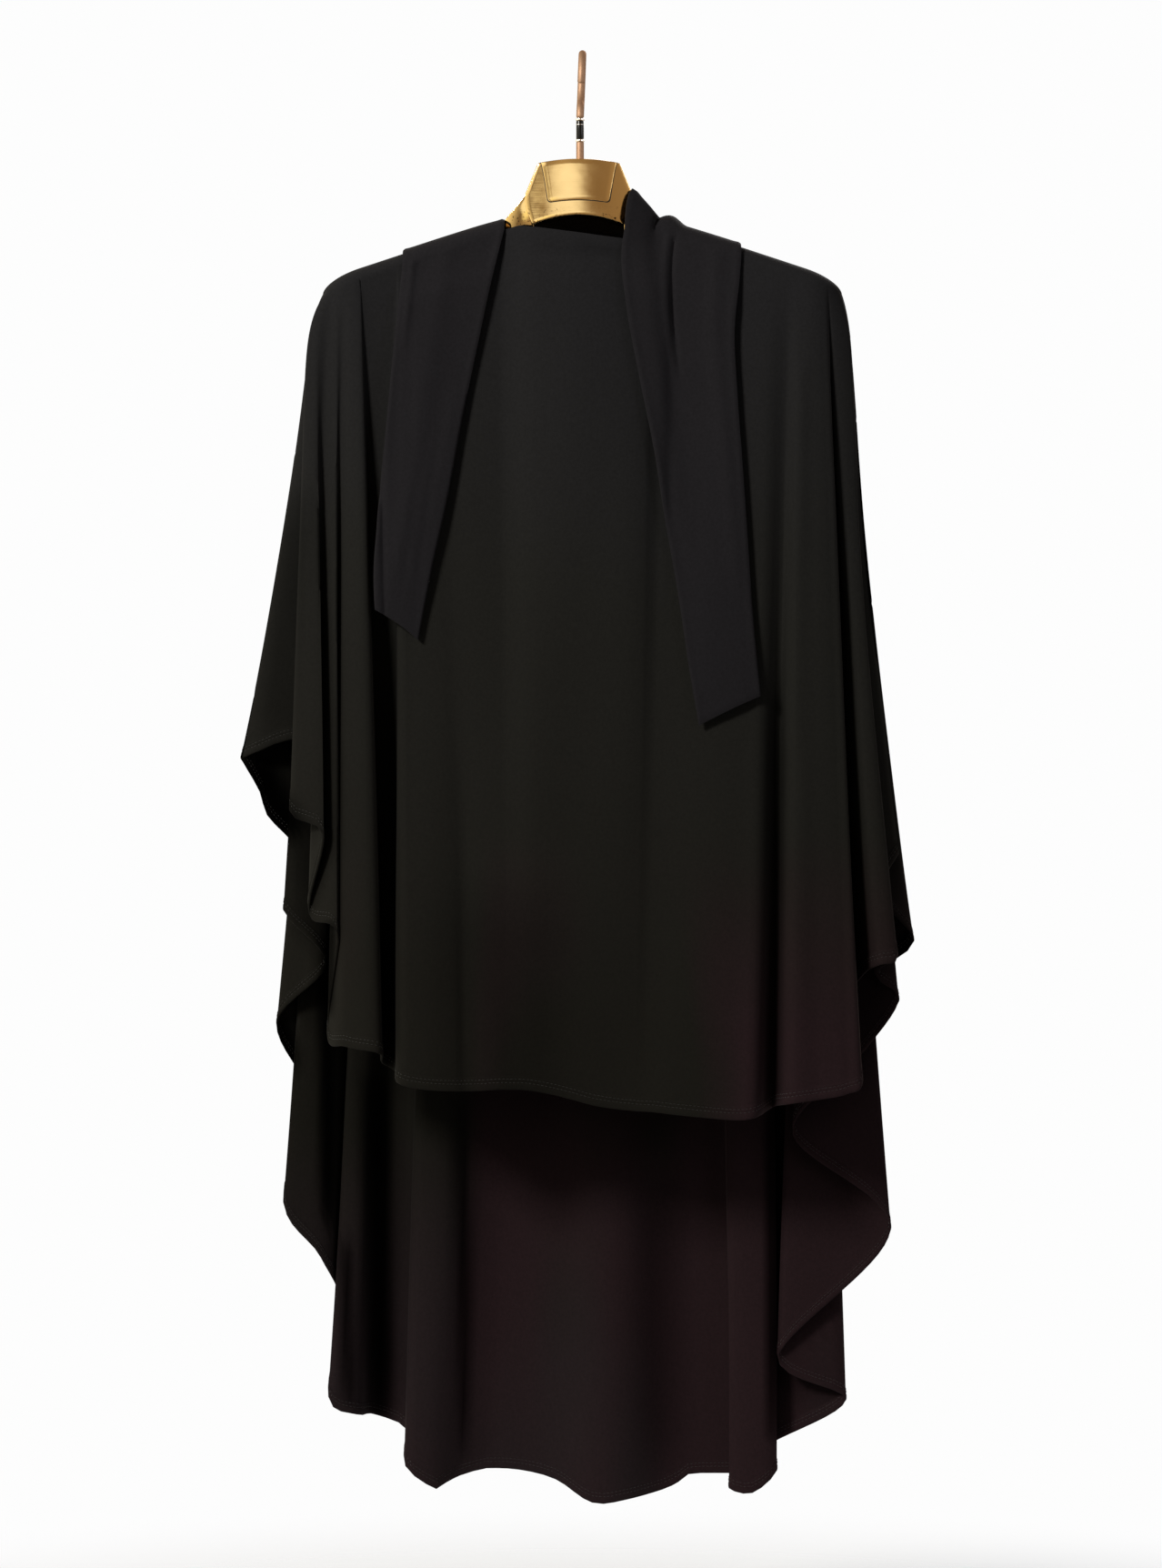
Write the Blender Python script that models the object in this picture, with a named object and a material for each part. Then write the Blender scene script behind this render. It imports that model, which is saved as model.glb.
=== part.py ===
"""Khimar veil on a clothes hanger: a long black jersey cape with two broad ties, hung on a gold hanger.

Metres, +Z up, the front towards -Y. The origin is the seat under the top of the hook, where a rail carries it.
The cape is one sheet. Its lines run from the shoulders, or from the rim round the neck, down to the hem,
and each row of FOLDS is one line in front and one behind, a ridge or a valley of the cascading sides.
"""
import math

import bmesh
import bpy
import numpy as np
from mathutils import Vector
from mathutils.bvhtree import BVHTree

# Hook, stem and collar
HOOK_WIRE = 0.0066          # thickness of the hook's rod
HOOK_RADIUS = 0.0220        # middle line of the hook's bow
HOOK_LEAN = 0.0020          # how far the shank stands left of the bow's middle
HOOK_FILLET = 0.0100        # bend between the shank and the bow
HOOK_TURN = 285             # degrees that the bow runs round from its lowest point
HOOK_NOSE = 0.35            # share of the rod's thickness that its rounded end stands out
COLLAR_TOP = -0.0515        # height where the shank enters the upper ring
COLLAR_EDGE = 0.0004        # broken edges of the rings, the barrel and the stem
RING_HEIGHT = 0.0022
RING_RADIUS = 0.0037
BARREL_HEIGHT = 0.0154
BARREL_RADIUS = 0.0033
STEM_RADIUS = 0.0033
STEM_SUNK = 0.0100          # depth of the stem's hole in the hanger's neck
FIT_GAP = 0.0003            # clearance between pieces that touch

# Hanger: a broad plated neck and two deep arms
NECK_TOP_WIDTH = 0.0700
NECK_WIDTH = 0.0930         # at its widest, a little below the middle
NECK_FOOT_WIDTH = 0.0800
NECK_WAIST = 0.52           # share of the neck's height where it is widest
NECK_CROWN = 0.0035         # rise of the crown's middle over its corners
NECK_TOP = -0.0880          # height of the neck's crown
NECK_HEIGHT = 0.0565
NECK_DEPTH = 0.0300
NECK_ARCH = 0.0085          # rise of the arch under the neck
NECK_SIDE = -0.0030         # the neck's middle, seen from the front
SHOULDER_HALF_WIDTH = 0.2222  # from the middle to the cape's shoulder tip
SHOULDER_TOP = -0.1405      # height of the shoulder line where it begins to fall
SHOULDER_START = 0.24       # share of the shoulder where it begins to fall
SHOULDER_SLOPE = 0.335      # fall of the shoulder line for each metre sideways
SHOULDER_BEND = 0.0180      # softens the bend where the slope begins
ARM_DEPTH_NECK = 0.0120     # half depth of the cloth over an arm, beside the neck
ARM_DEPTH_TIP = 0.0260      # the same near the tip
ARM_CROWN_NECK = 0.0050     # rise of the cloth's crown over an arm, beside the neck
ARM_CROWN_TIP = 0.0120      # the same near the tip
ARM_BELLY = 0.0120          # depth of an arm below its widest line
ARM_SEAT = 0.0006           # clearance between an arm and the cape on it
ARM_END_GAP = 0.0030        # clearance between the arm's end and the shoulder tip
ARM_END_BELLY = 0.15        # share of that depth left at the arm's very end
ARM_LEAST = 0.0015          # no half thickness of an arm is less
ARM_FLARE = 0.0255          # how far the arms rise towards the neck, inside the opening
ARM_FLARE_SLOPE = 1.10      # rise of the arms for each metre towards the neck, there
TIP_START = 0.86            # share of the shoulder where its end begins to round

# Cape
CLOTH = 0.0018              # wall of the cape
HEM_HALF_WIDTH = 0.2900     # half of the widest spread of the hem
FRONT_DEPTH = 0.0650        # how far the front hangs forward
BACK_DEPTH = 0.0850         # how far the back hangs behind
FRONT_DROP = 0.7583         # from the shoulder line to the front hem
BACK_DROP = 1.1083          # from the shoulder line to the back hem
OPENING = 0.300             # share of the shoulder that the neck opening takes, each way
RIM_START = 0.300           # start, in the table of folds, of the lines at the two ends of the opening
RIM_FRONT_DEPTH = 0.0300    # half depth of the opening, in front
RIM_BACK_DEPTH = 0.0260     # and behind
RIM_DIP = 0.0128            # how far the rim's middle lies under the shoulder line, in front
RIM_TILT = 0.134            # fall of the front rim for each metre to the right
RIM_RISE = 0.0060           # how far it stands up behind
FOLD_STEP = 0.0285          # width of a facet along the hem
FACET_ROWS = 12             # facets from the shoulder to the hem
ROW_GROWTH = 1.25           # over 1, the facets are shorter near the shoulder
SHOULDER_ARCS = 3           # points over an arm between the front line and the back line
ARM_SIDES = 2 * (SHOULDER_ARCS + 1)
SIDE_BULGE = 0.0200         # how far a side line stands out under the shoulder tip, at most
BULGE_REACH = 0.05          # share of the drop in which it swells
BULGE_FADE = 1.2            # the larger, the sooner it fades below
SIDE_SAG = 0.0058           # how far an outermost line hangs in, halfway down

# Ties and band
TIE_CLOTH = 0.0024          # two layers of the doubled tie
TIE_DROP_LEFT = 0.3600      # length in front, to the lowest corner
TIE_DROP_RIGHT = 0.4325
TIE_BEHIND = 0.0300         # how far a tie reaches down behind the shoulder
TIE_BEHIND_LEAN = 0.0060    # how far its end stands off there
TIE_SEAT_LEFT = 0.0017      # clearance of the left tie over the shoulder
TIE_SEAT_RIGHT = 0.0032     # the right one rides higher, where it climbs the arm
TIE_CLEAR = 0.0038          # stand-off of a hanging tie from the cape
TIE_FEEL = 0.0120           # the cape is felt this far round each place of a tie
TIE_PEAK = 0.0055           # height of the small rise that crosses the right tie on the shoulder
TIE_PEAK_PLACE = 0.345      # share of the shoulder where it is highest
TIE_PEAK_REACH = 0.060      # and how far it reaches each way
RIM_CORNER = 0.3            # the smaller, the squarer a tie turns over the rim
TIE_COLUMNS = 9
TIE_ROWS = 11
BAND_HEIGHT = 0.0300
BAND_CLOTH = 0.0024
BAND_CLEAR = 0.0009         # clearance between the band and the cape's rim behind it
BAND_LEFT = -0.250          # shares of the shoulder where the band begins and ends
BAND_RIGHT = 0.170
BAND_COLUMNS = 13
BAND_BELOW = 1 / 3          # share of the band's height that hangs below the rim

# Side of the shoulder (-1 left, 1 right), share of the shoulder where the line starts, its bulge and
# sag as shares of SIDE_BULGE and SIDE_SAG, then for the front line and the back line the hem point:
# spread, depth and drop as shares of HEM_HALF_WIDTH, FRONT_DEPTH or BACK_DEPTH, and FRONT_DROP or BACK_DROP.
FOLDS = (
    # side start | bulge sag | front: spread depth drop | back: spread depth drop
    (-1, 1.000, 0.42, 1.0, 1.010, 0.06, 0.607, 1.01, -0.05, 0.415),
    (-1, 0.996, 0.42, 1.0, 0.945, 0.15, 0.597, 0.955, 0.05, 0.441),
    (-1, 0.992, 0.45, 1.0, 0.875, 0.22, 0.587, 0.935, 0.10, 0.459),
    (-1, 0.986, 0.60, 0.6, 0.810, 0.26, 0.592, 0.86, 0.14, 0.480),
    (-1, 0.978, 0.90, 0.0, 0.860, 0.55, 0.666, 0.80, 0.15, 0.501),
    (-1, 0.967, 0.75, 0.0, 0.758, 0.77, 0.692, 0.88, 0.02, 0.533),
    (-1, 0.953, 0.30, 0.0, 0.801, 0.43, 0.782, 0.76, 0.12, 0.575),
    (-1, 0.938, 0.10, 0.0, 0.718, 0.71, 0.803, 0.91, 0.28, 0.622),
    (-1, 0.915, 0.00, 0.0, 0.747, 0.45, 0.917, 0.80, 0.54, 0.690),
    (-1, 0.887, 0.00, 0.0, 0.690, 0.80, 0.929, 0.89, 0.40, 0.762),
    (-1, 0.855, 0.00, 0.0, 0.591, 0.92, 0.936, 0.78, 0.49, 0.805),
    (-1, 0.840, 0.00, 0.0, 0.588, 0.24, 0.950, 0.72, 0.78, 0.849),
    (-1, 0.725, 0.00, 0.0, 0.548, 0.24, 0.960, 0.76, 0.64, 0.916),
    (-1, 0.705, 0.00, 0.0, 0.540, 0.89, 0.968, 0.68, 0.71, 0.930),
    (-1, 0.686, 0.00, 0.0, 0.500, 0.97, 0.974, 0.65, 0.95, 0.932),
    (-1, 0.650, 0.00, 0.0, 0.430, 0.98, 0.977, 0.62, 1.04, 0.934),
    (-1, 0.600, 0.00, 0.0, 0.370, 0.95, 0.978, 0.53, 1.01, 0.945),
    (-1, 0.533, 0.00, 0.0, 0.330, 0.91, 0.978, 0.53, 0.73, 0.971),
    (-1, 0.425, 0.00, 0.0, 0.280, 0.97, 0.977, 0.44, 0.75, 0.989),
    (-1, 0.360, 0.00, 0.0, 0.245, 0.98, 0.976, 0.41, 0.85, 0.985),
    (-1, 0.300, 0.00, 0.0, 0.210, 0.98, 0.976, 0.37, 0.96, 0.981),
    (-1, 0.240, 0.00, 0.0, 0.180, 0.99, 0.976, 0.33, 1.00, 0.978),
    (-1, 0.170, 0.00, 0.0, 0.150, 1.00, 0.977, 0.29, 1.04, 0.976),
    (-1, 0.100, 0.00, 0.0, 0.080, 1.00, 0.982, 0.19, 1.04, 0.977),
    (-1, 0.030, 0.00, 0.0, 0.020, 1.00, 0.988, 0.08, 0.96, 0.984),
    (1, 0.050, 0.00, 0.0, 0.040, 1.00, 0.994, 0.03, 0.78, 1.000),
    (1, 0.150, 0.00, 0.0, 0.110, 1.00, 0.998, 0.13, 0.78, 0.998),
    (1, 0.220, 0.00, 0.0, 0.140, 1.00, 0.999, 0.24, 0.96, 0.992),
    (1, 0.270, 0.00, 0.0, 0.160, 1.00, 1.000, 0.29, 0.98, 0.986),
    (1, 0.300, 0.00, 0.0, 0.170, 1.00, 1.000, 0.32, 0.99, 0.980),
    (1, 0.360, 0.00, 0.0, 0.210, 1.00, 1.001, 0.40, 0.97, 0.979),
    (1, 0.429, 0.00, 0.0, 0.250, 1.00, 1.003, 0.47, 0.92, 0.980),
    (1, 0.561, 0.00, 0.0, 0.350, 1.00, 1.007, 0.44, 0.71, 0.988),
    (1, 0.665, 0.00, 0.0, 0.450, 1.00, 1.010, 0.51, 0.65, 0.991),
    (1, 0.731, 0.00, 0.0, 0.505, 0.97, 1.007, 0.58, 0.68, 0.974),
    (1, 0.790, 0.00, 0.0, 0.555, 0.57, 0.998, 0.55, 0.89, 0.958),
    (1, 0.835, 0.00, 0.0, 0.602, 0.99, 0.992, 0.79, 0.71, 0.919),
    (1, 0.880, 0.00, 0.0, 0.690, 1.00, 0.987, 0.59, 0.56, 0.882),
    (1, 0.912, 0.00, 0.0, 0.770, 0.97, 0.981, 0.92, 0.45, 0.783),
    (1, 0.932, 0.00, 0.0, 0.813, 0.88, 0.966, 0.63, 0.33, 0.709),
    (1, 0.944, 0.00, 0.1, 0.772, 0.25, 0.890, 0.80, 0.26, 0.655),
    (1, 0.952, 0.10, 0.3, 0.825, 0.50, 0.849, 0.94, 0.21, 0.604),
    (1, 0.978, 0.45, 1.0, 0.870, 0.72, 0.838, 0.87, 0.15, 0.583),
    (1, 0.988, 0.50, 1.0, 0.920, 0.68, 0.828, 0.98, 0.04, 0.557),
    (1, 0.995, 0.42, 0.8, 0.870, 0.37, 0.761, 0.88, -0.05, 0.521),
    (1, 1.000, 0.33, 0.6, 0.930, 0.18, 0.715, 0.93, -0.14, 0.490),
)

# Share of the tie's drop, then its outer and inner edges as shares of SHOULDER_HALF_WIDTH from the middle.
LEFT_TIE = (
    (0.000, 0.690, 0.300),
    (0.127, 0.708, 0.349),
    (0.273, 0.730, 0.398),
    (0.464, 0.755, 0.460),
    (0.678, 0.783, 0.523),
    (0.818, 0.797, 0.572),
    (1.000, 0.785, 0.627),
)
RIGHT_TIE = (
    (0.000, 0.610, 0.200),
    (0.050, 0.603, 0.149),
    (0.150, 0.584, 0.165),
    (0.300, 0.594, 0.216),
    (0.450, 0.613, 0.274),
    (0.600, 0.631, 0.320),
    (0.750, 0.649, 0.369),
    (0.875, 0.669, 0.404),
    (1.000, 0.692, 0.444),
)
LEFT_END_SLANT = 0.080      # share of the drop that the outer corner ends higher than the inner one
RIGHT_END_SLANT = 0.0625

COLOURS = {
    "jersey": (0.012, 0.012, 0.013, 0.85, 0.0),
    "doubled_jersey": (0.014, 0.014, 0.015, 0.8, 0.0),
    "gold_plate": (0.62, 0.42, 0.12, 0.2, 1.0),
    "rose_gold": (0.43, 0.24, 0.15, 0.35, 1.0),
    "pale_metal": (0.8, 0.78, 0.76, 0.15, 1.0),
    "black_plastic": (0.01, 0.01, 0.012, 0.3, 0.0),
}


def clear_scene():
    for thing in list(bpy.data.objects):
        bpy.data.objects.remove(thing, do_unlink=True)


def material(name):
    red, green, blue, roughness, metallic = COLOURS[name]
    made = bpy.data.materials.get(name) or bpy.data.materials.new(name)
    made.use_nodes = True
    shader = made.node_tree.nodes["Principled BSDF"]
    shader.inputs["Base Color"].default_value = (red, green, blue, 1.0)
    shader.inputs["Roughness"].default_value = roughness
    shader.inputs["Metallic"].default_value = metallic
    return made


def add_object(name, mesh_data, finish, smooth_angle=40):
    mesh_data.materials.append(material(finish))
    mesh_data.shade_smooth()
    mesh_data.set_sharp_from_angle(angle=math.radians(smooth_angle))
    thing = bpy.data.objects.new(name, mesh_data)
    bpy.context.scene.collection.objects.link(thing)
    return thing


def object_from(name, vertices, faces, finish, smooth_angle=40):
    mesh_data = bpy.data.meshes.new(name)
    mesh_data.from_pydata([tuple(v) for v in vertices], [], faces)
    mesh_data.validate()
    shell = bmesh.new()
    shell.from_mesh(mesh_data)
    bmesh.ops.remove_doubles(shell, verts=shell.verts, dist=1e-6)
    bmesh.ops.recalc_face_normals(shell, faces=shell.faces)
    bmesh.ops.triangulate(shell, faces=[f for f in shell.faces if len(f.verts) > 3])
    shell.to_mesh(mesh_data)
    shell.free()
    return add_object(name, mesh_data, finish, smooth_angle)


def mix(start, end, share):
    return start + (end - start) * share


# Shoulder: the line that the cloth lies on over each arm

def tip_rounding(share):
    """1 along the shoulder, falling to 0 at its very tip on a round curve."""
    if share <= TIP_START:
        return 1.0
    return math.sqrt(max(0.0, 1.0 - ((share - TIP_START) / (1.0 - TIP_START)) ** 2))


def shoulder_size(share):
    """Half depth and crown of the cloth over an arm."""
    rounding = tip_rounding(share)
    half_depth = mix(ARM_DEPTH_NECK, ARM_DEPTH_TIP, share) * rounding
    crown = mix(ARM_CROWN_NECK, ARM_CROWN_TIP, share) * rounding
    return half_depth, crown


def shoulder_line(share):
    """Height of the widest line of the cloth over an arm."""
    sideways = max(0.0, share - SHOULDER_START) * SHOULDER_HALF_WIDTH
    top = SHOULDER_TOP - SHOULDER_SLOPE * (math.hypot(sideways, SHOULDER_BEND) - SHOULDER_BEND)
    return top - mix(ARM_CROWN_NECK, ARM_CROWN_TIP, share)


def arm_flare(share):
    """How far an arm rises towards the neck, inside the opening."""
    inwards = max(0.0, OPENING - share) * SHOULDER_HALF_WIDTH
    return min(ARM_FLARE, ARM_FLARE_SLOPE * inwards)


def shoulder_point(side, share, turn, proud=0.0):
    """A point on the cloth over an arm: turn 0 in front, 180 behind, proud of the cape's middle wall."""
    half_depth, crown = shoulder_size(share)
    angle = math.radians(turn)
    return Vector((side * share * SHOULDER_HALF_WIDTH,
                   -(half_depth + proud) * math.cos(angle),
                   shoulder_line(share) + (crown + proud) * math.sin(angle)))


# Cape

def top_point(side, share, front):
    """Where a line starts: on the shoulder, or on the rim of the neck opening."""
    turn = 0 if front else 180
    point = shoulder_point(side, share, turn)
    if share >= OPENING:
        return point
    across = share / OPENING
    bow = math.sqrt(1.0 - across * across)
    if front:
        level = SHOULDER_TOP - RIM_DIP - RIM_TILT * point.x
        point.y = -rim_depth(share, True)
        point.z = mix(point.z, level, 1.0 - (1.0 - bow) ** 2)
    else:
        point.y = rim_depth(share, False)
        point.z += RIM_RISE * bow
    return point


def hem_point(side, spread, depth, drop, front):
    height = SHOULDER_TOP - drop * (FRONT_DROP if front else BACK_DROP)
    forward = -depth * FRONT_DEPTH if front else depth * BACK_DEPTH
    return Vector((side * spread * HEM_HALF_WIDTH, forward, height))


def curve_through(points, steps):
    """A smooth open curve through the points, with the given steps in each stretch."""
    places = [Vector(p) for p in points]
    result = []
    for i in range(len(places) - 1):
        before = places[max(i - 1, 0)]
        start = places[i]
        end = places[i + 1]
        after = places[min(i + 2, len(places) - 1)]
        for k in range(steps[i]):
            t = k / steps[i]
            result.append(0.5 * ((2 * start) + (end - before) * t
                                 + (2 * before - 5 * start + 4 * end - after) * t * t
                                 + (3 * start - 3 * end + after - before) * t * t * t))
    result.append(places[-1])
    return result


def shoulder_share(start):
    """Share of the shoulder for a start in the table, whose middle part follows the neck opening."""
    if start <= RIM_START:
        return OPENING * start / RIM_START
    return mix(OPENING, 1.0, (start - RIM_START) / (1.0 - RIM_START))


def line_ends():
    """Starts and hem points of all the lines, front and back, from the left tip to the right tip.

    A start is its side, its share of the shoulder, its bulge and its sag.
    """
    tops = []
    hems = {True: [], False: []}
    for side, start, bulge, sag, *shape in FOLDS:
        tops.append(Vector((side * shoulder_share(start), bulge, sag)))
        for front, (spread, depth, drop) in ((True, shape[:3]), (False, shape[3:])):
            hems[front].append(hem_point(side, spread, depth, drop, front))
    for where in (0, -1):
        hems[False][where] = hems[True][where].copy()
    steps = []
    for i in range(len(FOLDS) - 1):
        longest = max((hems[front][i + 1] - hems[front][i]).length for front in (True, False))
        steps.append(max(1, round(longest / FOLD_STEP)))
    starts = [(1 if place.x > 0 else -1, min(1.0, abs(place.x)), place.y, place.z)
              for place in curve_through(tops, steps)]
    return {front: list(zip(starts, curve_through(hems[front], steps))) for front in (True, False)}


def line_point(start, low, v, front):
    """A point at share v of a line's drop: side lines stand out under the shoulder tip and sag below."""
    side, share, bulge, sag = start
    point = mix(top_point(side, share, front), low, v)
    swell = (1.0 - math.exp(-v / BULGE_REACH)) * (1.0 - v) ** BULGE_FADE
    point.x += side * (bulge * SIDE_BULGE * swell - sag * SIDE_SAG * 4 * v * (1.0 - v))
    return point


def cape_sheet(ends):
    """The middle of the wall: a grid of lines, closed over the shoulders."""
    columns = []
    for front, order in ((True, 1), (False, -1)):
        for start, low in ends[front][::order]:
            columns.append([line_point(start, low, (i / FACET_ROWS) ** ROW_GROWTH, front)
                            for i in range(FACET_ROWS + 1)])
    count = len(ends[True])
    points = [p for column in columns for p in column]
    high = FACET_ROWS + 1
    faces = []
    total = 2 * count
    for c in range(total):
        after = (c + 1) % total
        for i in range(FACET_ROWS):
            faces.append((c * high + i, after * high + i, after * high + i + 1, c * high + i + 1))
    arcs = {}
    for c, ((side, share, _, _), _) in enumerate(ends[True]):
        if share < OPENING - 1e-6:
            continue
        chain = [c * high]
        for k in range(SHOULDER_ARCS):
            turn = 180 * (k + 1) / (SHOULDER_ARCS + 1)
            chain.append(len(points))
            points.append(shoulder_point(side, share, turn))
        chain.append((total - 1 - c) * high)
        arcs[c] = chain
    for c in arcs:
        if c + 1 in arcs:
            for k in range(SHOULDER_ARCS + 1):
                faces.append((arcs[c][k], arcs[c][k + 1], arcs[c + 1][k + 1], arcs[c + 1][k]))
    return points, faces


def merged_sheet(points, faces):
    """One grid with no doubled corners, its faces all turned the same way."""
    sheet = bmesh.new()
    corners = [sheet.verts.new(p) for p in points]
    for face in faces:
        sheet.faces.new([corners[i] for i in face])
    bmesh.ops.remove_doubles(sheet, verts=sheet.verts, dist=1e-5)
    bmesh.ops.dissolve_degenerate(sheet, edges=sheet.edges, dist=1e-6)
    bmesh.ops.recalc_face_normals(sheet, faces=sheet.faces)
    sheet.normal_update()
    return sheet


def walled(sheet, thickness):
    """Gives a sheet its wall, half to each side, closed round its edges."""
    sheet.verts.ensure_lookup_table()
    sheet.verts.index_update()
    middle = [v.co.copy() for v in sheet.verts]
    normals = [v.normal.copy() for v in sheet.verts]
    count = len(middle)
    vertices = [m + n * thickness / 2 for m, n in zip(middle, normals)]
    vertices += [m - n * thickness / 2 for m, n in zip(middle, normals)]
    faces = []
    for face in sheet.faces:
        ring = [v.index for v in face.verts]
        faces.append(ring)
        faces.append([i + count for i in reversed(ring)])
    for edge in sheet.edges:
        if len(edge.link_faces) == 1:
            loop = edge.link_loops[0]
            a = loop.vert.index
            b = loop.link_loop_next.vert.index
            faces.append([b, a, a + count, b + count])
    return vertices, faces


def make_cape(ends):
    """Makes the cape and gives back its middle sheet as a tree, in which the ties feel for the cloth."""
    sheet = merged_sheet(*cape_sheet(ends))
    vertices, faces = walled(sheet, CLOTH)
    tree = BVHTree.FromBMesh(sheet)
    sheet.free()
    object_from("veil_cape", vertices, faces, "jersey", 60)
    return tree


# Ties and band

def edge_at(table, share):
    """Outer and inner edge of a tie at a share of its drop."""
    shares = [row[0] for row in table]
    return (np.interp(share, shares, [row[1] for row in table]),
            np.interp(share, shares, [row[2] for row in table]))


def cape_front(tree, x, z):
    """How far forward the cape's front lies at a place."""
    hit, _, _, _ = tree.ray_cast(Vector((x, -1.0, z)), Vector((0, 1, 0)))
    return hit.y if hit else 0.0


def rim_depth(share, front):
    """Half depth of the neck opening where a line starts on its rim."""
    edge, _ = shoulder_size(OPENING)
    bow = math.sqrt(max(0.0, 1.0 - (share / OPENING) ** 2))
    return mix(edge, RIM_FRONT_DEPTH if front else RIM_BACK_DEPTH, bow)


def tie_over(side, share, turn, peak):
    """Middle of a tie where it passes over the shoulder, and up along the arm inside the opening."""
    seat = TIE_SEAT_LEFT if side < 0 else TIE_SEAT_RIGHT
    proud = CLOTH / 2 + seat + TIE_CLOTH / 2
    point = shoulder_point(side, share, turn, proud)
    if share < OPENING:
        reach = rim_depth(share, turn < 90) + proud
        forward = math.cos(math.radians(turn))
        point.y = -reach * math.copysign(abs(forward) ** RIM_CORNER, forward)
    away = min(1.0, abs(share - TIE_PEAK_PLACE) / TIE_PEAK_REACH)
    rise = arm_flare(share) + peak * (1.0 + math.cos(math.pi * away)) / 2
    point.z += rise * math.sin(math.radians(turn))
    return point


def tie_grid(tree, side, table, drop, end_slant, peak):
    """Middle of a doubled tie: up behind the shoulder, over it and down in front."""
    across = [c / (TIE_COLUMNS - 1) for c in range(TIE_COLUMNS)]
    outer, inner = edge_at(table, 0.0)
    tops = [mix(outer, inner, place) for place in across]
    end = Vector((0, TIE_BEHIND_LEAN, -TIE_BEHIND))
    rows = [[tie_over(side, share, 180, peak) + end for share in tops]]
    for turn in (180, 135, 90, 45, 0):
        rows.append([tie_over(side, share, turn, peak) for share in tops])
    starts = rows[-1]
    stand = CLOTH / 2 + TIE_CLOTH / 2 + TIE_CLEAR
    feel = (-TIE_FEEL, 0, TIE_FEEL)
    for r in range(1, TIE_ROWS + 1):
        row = []
        for place, start in zip(across, starts):
            share = r / TIE_ROWS * (1 - end_slant * (1 - place))
            outer, inner = edge_at(table, share)
            x = side * mix(outer, inner, place) * SHOULDER_HALF_WIDTH
            z = start.z - share * (drop - (SHOULDER_TOP - start.z))
            nearest = min(cape_front(tree, x + dx, z + dz) for dx in feel for dz in feel)
            row.append(Vector((x, min(nearest - stand, start.y), z)))
        rows.append(row)
    return rows


def grid_faces(rows):
    wide = len(rows[0])
    points = [p for row in rows for p in row]
    faces = []
    for r in range(len(rows) - 1):
        for c in range(wide - 1):
            a = r * wide + c
            faces.append((a, a + 1, a + wide + 1, a + wide))
    return points, faces


def make_tie(name, tree, side, table, drop, end_slant, peak):
    sheet = merged_sheet(*grid_faces(tie_grid(tree, side, table, drop, end_slant, peak)))
    vertices, faces = walled(sheet, TIE_CLOTH)
    sheet.free()
    object_from(name, vertices, faces, "doubled_jersey", 50)


def make_band(ends):
    """Plain strip behind the neck, standing inside the back of the opening."""
    rim = [top_point(side, share, False) for (side, share, _, _), _ in ends[False] if share < OPENING + 0.01]
    inward = CLOTH / 2 + BAND_CLEAR + BAND_CLOTH / 2
    rows = []
    for level in (-BAND_BELOW, 1.0 - BAND_BELOW):
        row = []
        for c in range(BAND_COLUMNS):
            x = mix(BAND_LEFT, BAND_RIGHT, c / (BAND_COLUMNS - 1)) * SHOULDER_HALF_WIDTH
            depth = np.interp(x, [p.x for p in rim], [p.y for p in rim])
            height = np.interp(x, [p.x for p in rim], [p.z for p in rim])
            row.append(Vector((x, depth - inward, height + level * BAND_HEIGHT)))
        rows.append(row)
    sheet = merged_sheet(*grid_faces(rows))
    vertices, faces = walled(sheet, BAND_CLOTH)
    sheet.free()
    object_from("forehead_band", vertices, faces, "doubled_jersey", 50)


# Hanger

def arm_section(station):
    """Closed outline round an arm, clear of the cape that lies on it, with the same facets."""
    share = abs(station)
    half_depth, crown = shoulder_size(min(1.0, share + ARM_END_GAP / SHOULDER_HALF_WIDTH))
    inset = CLOTH / 2 + ARM_SEAT
    belly = ARM_BELLY * max(ARM_END_BELLY, tip_rounding(share))
    half = max(ARM_LEAST, half_depth - inset)
    points = []
    for k in range(ARM_SIDES):
        angle = math.radians(360 * k / ARM_SIDES)
        rise = max(ARM_LEAST, crown - inset) if math.sin(angle) > 0 else belly
        points.append((station * SHOULDER_HALF_WIDTH, half * math.cos(angle),
                       shoulder_line(share) + arm_flare(share) + rise * math.sin(angle)))
    return points


def arm_stations():
    """Places of the sections from the left end to the right end, closer together where the ends round."""
    end = 1.0 - 1.5 * ARM_END_GAP / SHOULDER_HALF_WIDTH
    right = [0.0, 0.6 * OPENING, 0.8 * OPENING, 0.9 * OPENING, OPENING, 1.2 * OPENING, 0.45, 0.6, TIP_START]
    right += [mix(TIP_START, end, part) for part in (0.3, 0.55, 0.75, 0.9, 1.0)]
    return [-share for share in reversed(right[1:])] + right


def make_hanger_body():
    """Neck and arms in one: the arms run through the neck's foot."""
    stations = arm_stations()
    vertices = [point for station in stations for point in arm_section(station)]
    faces = []
    for s in range(len(stations) - 1):
        for k in range(ARM_SIDES):
            a = s * ARM_SIDES + k
            b = s * ARM_SIDES + (k + 1) % ARM_SIDES
            faces.append((a, b, b + ARM_SIDES, a + ARM_SIDES))
    faces.append(tuple(range(ARM_SIDES))[::-1])
    faces.append(tuple(range(len(vertices) - ARM_SIDES, len(vertices))))
    arms = object_from("hanger_body", vertices, faces, "gold_plate", 45)

    neck = neck_block()
    add_boolean(arms, neck, "UNION")
    hole = turned("stem_hole", STEM_RADIUS + FIT_GAP, NECK_TOP - STEM_SUNK, NECK_TOP + 0.01, "gold_plate")
    add_boolean(arms, hole, "DIFFERENCE")


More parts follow.
